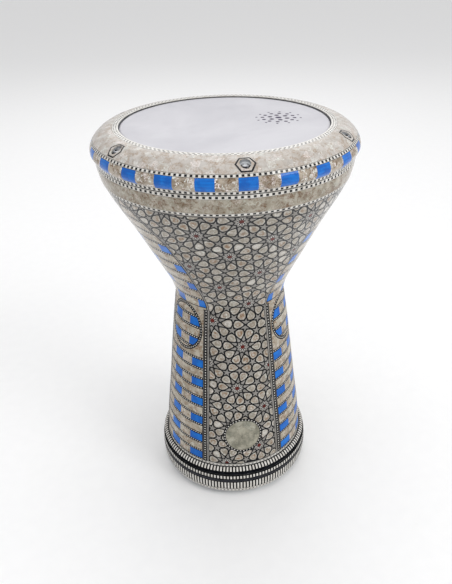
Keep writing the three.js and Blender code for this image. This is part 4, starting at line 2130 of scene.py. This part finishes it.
@dataclass
class TensionBolts:
    """Six domed socket-head bolts that draw the ring down.

    Attributes:
        circle_radius: Radius of the bolt circle.
        sides: Sides of a bolt.
        profile: The bolt's outside, from its tip to its dome.
        thread: The thread's lower end, upper end, pitch and depth.
        socket: Inner radius of the hexagon socket.
        socket_floor: Height of the socket's floor.
    """

    circle_radius: float = 128.4
    sides: int = 48
    profile: Profile = (
        (0.6, 411.6), (2.2, 411.6), (3.0, 412.6), (3.0, 443.7), (4.7, 443.7), (4.9, 444.0),
        (4.9, 447.5), (4.75, 448.1), (4.4, 448.8), (3.9, 449.4), (3.3, 449.85),
        (2.75, 450.1))
    thread: tuple[float, float, float, float] = (416.0, 440.0, 1.0, 0.28)
    socket: float = 1.99
    socket_floor: float = 447.6

    def build(self) -> Iterator[Piece]:
        """Builds the bolts.

        Yields:
            Each finished piece.
        """
        for k, azimuth in enumerate(bolt_azimuths()):
            skin = Skin()
            self._bolt(skin, on_drum(self.circle_radius, azimuth, 0.0))
            yield settle(skin.piece(f"socket_bolt_{k + 1}"), f"bolt_{k + 1}", "bolt_steel",
                         f"tension_bolt_{k + 1}")

    def _bolt(self, skin: Skin, foot: Vector) -> None:
        """Adds one bolt with thread grooves and a socket whose inside is painted shade.

        Args:
            skin: What the faces are added to.
            foot: The bolt's place on the floor.
        """
        low, high, pitch, cut = self.thread
        radius = self.profile[2][0]
        shank = []
        for k in range(int((high - low) / pitch)):
            z = low + k * pitch
            shank += [(radius, z), (radius - cut, z + pitch * 0.3), (radius, z + pitch * 0.6)]
        outside = [*self.profile[:3], *shank, *self.profile[3:]]
        rings = [[skin.point(foot + on_drum(r, TURN * k / self.sides, z))
                  for k in range(self.sides)] for r, z in outside]
        for z in (self.profile[-1][1], self.socket_floor):
            rings.append([skin.point(foot + on_drum(self._hexagon(TURN * k / self.sides),
                                                    TURN * k / self.sides, z))
                          for k in range(self.sides)])
        for j, (low_ring, high_ring) in enumerate(zip(rings, rings[1:])):
            # The socket's walls take the dark ebony finish: painted shade inside the hole.
            finish = Finish.EBONY if j == len(rings) - 2 else Finish.CHROME
            for k in range(self.sides):
                n = (k + 1) % self.sides
                skin.face((low_ring[k], low_ring[n], high_ring[n], high_ring[k]), finish)
        skin.face(rings[0][::-1], Finish.CHROME)
        # The socket's floor is dark ebony too, painted shade.
        skin.face(rings[-1], Finish.EBONY)

    def _hexagon(self, degrees: float) -> float:
        """Radius of the socket in a direction."""
        return self.socket / math.cos(math.radians((degrees + 30) % 60 - 30))


@dataclass
class Head:
    """The milky film with its collar, and a plain dot rosette printed on it.

    Attributes:
        top_z: Height of the film's face.
        top_radius: Radius of the film's flat face.
        collar: Outside of the film's collar.
        thickness: The film's thickness.
        motif: Middle of the printed dot rosette.
        dots: Distance, count and radius of each circle of dots.
    """

    top_z: float = 453.4
    top_radius: float = 107.6
    collar: Profile = (
        (109.6, 437.0), (109.6, 451.3), (109.4, 452.2), (108.9, 452.9), (107.6, 453.4))
    thickness: float = 0.35
    motif: Point = (58.0, 4.0)
    dots: tuple[tuple[float, int, float], ...] = (
        (0.0, 1, 3.4), (9.5, 6, 2.5), (17.0, 12, 2.1), (23.5, 12, 1.3))

    def build(self) -> Iterator[Piece]:
        """Builds the film's flat face and its collar.

        Yields:
            Each finished piece.
        """
        sheet = Marquetry(circle(0.0, 0.0, self.top_radius, ROUND), Finish.FILM,
                          mesh_step=12.0)
        for ring, count, radius in self.dots:
            for k in range(count):
                x, y = polar(self.motif, ring, TURN * (k + 0.5) / count)
                sheet.add(circle(x, y, radius, 20), Finish.INK)
        skin = Skin()
        sheet.lay(skin, lambda x, y, d: Vector((x, y, self.top_z - d)), self.thickness)
        yield settle(skin.piece("head_film_face"), "head", "film", "head_film")
        skin = Skin()
        inner = [(r - self.thickness, z) for r, z in reversed(self.collar[:-1])]
        skin.lathe([*self.collar, *inner], lambda i: Finish.FILM)
        yield settle(skin.piece("head_film_collar"), "head", "film", "head_film")


def dress_hidden_nodes() -> None:
    """Gives the CAD nodes that stay their own metals."""
    for name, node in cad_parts.items():
        finish = (Finish.HOOP if name == "head_flesh_hoop" else
                  Finish.BRASS if name.startswith("bolt_insert") else None)
        if finish is None:
            continue
        if not node.data.materials:
            node.data.materials.append(None)
        for slot in node.material_slots:
            slot.material = PALETTE.material(finish)


# ---------------------------- the studio
@dataclass(frozen=True)
class Studio:
    """Pale floor, soft lights and the camera.

    Attributes:
        eye: Camera place in metres.
        yaw: Camera heading to the right of +Y, degrees.
        pitch: How far it looks down, degrees.
        roll: Turn about its own axis, degrees.
        lens: Focal length in millimetres on a 36 mm film.
        shift: Sideways and upward shift of the lens, in picture widths.
    """

    eye: tuple[float, float, float] = (-0.08377, -0.63628, 0.62425)
    yaw: float = 8.4077
    pitch: float = 30.8832
    roll: float = -1.2233
    lens: float = 37.72
    shift: tuple[float, float] = (-0.0211, 0.0079)

    def build(self) -> None:
        """Sets up everything that isn't the drum."""
        self._camera()
        self._floor()
        self._world()
        self._light("key_softbox", (1.35, -1.2, 1.8), 0.9, 12.5)
        self._light("fill_softbox", (-1.15, -1.3, 1.8), 0.7, 1.6)
        self._light("side_softbox", (-1.35, -0.28, 1.5), 0.45, 1.0)
        self._light("back_softbox", (0.2, 1.8, 1.7), 1.6, 6.0)
        self._light("top_softbox", (-0.2, 0.3, 2.6), 2.2, 15.5)

    def _camera(self) -> None:
        """Places the camera."""
        data = bpy.data.cameras.new("studio_camera")
        data.sensor_width = 36.0
        data.lens = self.lens
        data.shift_x, data.shift_y = self.shift
        data.clip_start, data.clip_end = 0.01, 100.0
        camera = bpy.data.objects.new("studio_camera", data)
        bpy.context.scene.collection.objects.link(camera)
        camera.location = self.eye
        turn = Euler((math.radians(90 - self.pitch), 0.0, math.radians(-self.yaw)))
        roll = Euler((0.0, 0.0, math.radians(self.roll)))
        camera.rotation_euler = (turn.to_matrix() @ roll.to_matrix()).to_euler()
        bpy.context.scene.camera = camera

    @staticmethod
    def _floor() -> None:
        """Builds the pale floor."""
        mesh = bpy.data.meshes.new("studio_floor")
        work = bmesh.new()
        bmesh.ops.create_grid(work, x_segments=24, y_segments=24, size=14.0)
        work.to_mesh(mesh)
        work.free()
        floor = bpy.data.objects.new("studio_floor", mesh)
        material = bpy.data.materials.new("pale_paper")
        material.use_nodes = True
        w = Wiring(material.node_tree)
        shader = w.node("ShaderNodeBsdfPrincipled")
        out = w.node("ShaderNodeOutputMaterial")
        w.join(shader.outputs[0], out.inputs["Surface"])
        place = w.place()
        fibre = w.noise(place, 60.0, 4.0)
        w.feed(shader.inputs["Base Color"], w.blend(fibre.outputs[0], (0.9, 0.9, 0.902),
                                                    (0.94, 0.94, 0.94)))
        shader.inputs["Roughness"].default_value = 0.8
        mesh.materials.append(material)
        bpy.context.scene.collection.objects.link(floor)

    @staticmethod
    def _world() -> None:
        """Sets the surrounding light, white towards +X and greyer towards -X."""
        world = bpy.data.worlds.new("studio_air")
        bpy.context.scene.world = world
        world.use_nodes = True
        w = Wiring(world.node_tree)
        shade = w.node("ShaderNodeBackground")
        w.join(shade.outputs[0], w.node("ShaderNodeOutputWorld").inputs["Surface"])
        split = w.node("ShaderNodeSeparateXYZ")
        w.join(w.place("Generated"), split.inputs[0])
        w.feed(shade.inputs["Color"], w.blend(w.span(split.outputs["X"], -0.9, 0.7),
                                              (0.66, 0.66, 0.67), (1.0, 1.0, 1.0)))
        shade.inputs["Strength"].default_value = 0.85

    @staticmethod
    def _light(name: str, place: tuple[float, float, float], size: float,
               power: float) -> None:
        """Adds one soft light aimed at the drum's middle.

        Args:
            name: Its name.
            place: Where it hangs, in metres.
            size: Side of its square, in metres.
            power: Watts.
        """
        data = bpy.data.lights.new(name, "AREA")
        data.shape, data.size, data.energy = "SQUARE", size, power
        lamp = bpy.data.objects.new(name, data)
        lamp.location = place
        aim = Vector((0.0, 0.0, 0.25)) - lamp.location
        lamp.rotation_euler = aim.to_track_quat("-Z", "Y").to_euler()
        bpy.context.scene.collection.objects.link(lamp)


def main() -> None:
    """Builds the studio and the drum, and reports each piece."""
    logging.basicConfig(level=logging.INFO, format="%(message)s")
    bpy.context.scene.view_settings.view_transform = "Standard"
    Studio().build()
    surface = DrumSurface()
    for part in (Casting(surface), StarPanels(surface), SidePanels(surface),
                 StemStrings(surface), Shoulder(), Foot(), TensionRing(),
                 TensionBolts(), Head()):
        for piece in part.build():
            LOG.info("%s: %s with %d faces", type(part).__name__, piece.name,
                     len(piece.data.polygons))
    dress_hidden_nodes()


if __name__ == "__main__":
    main()
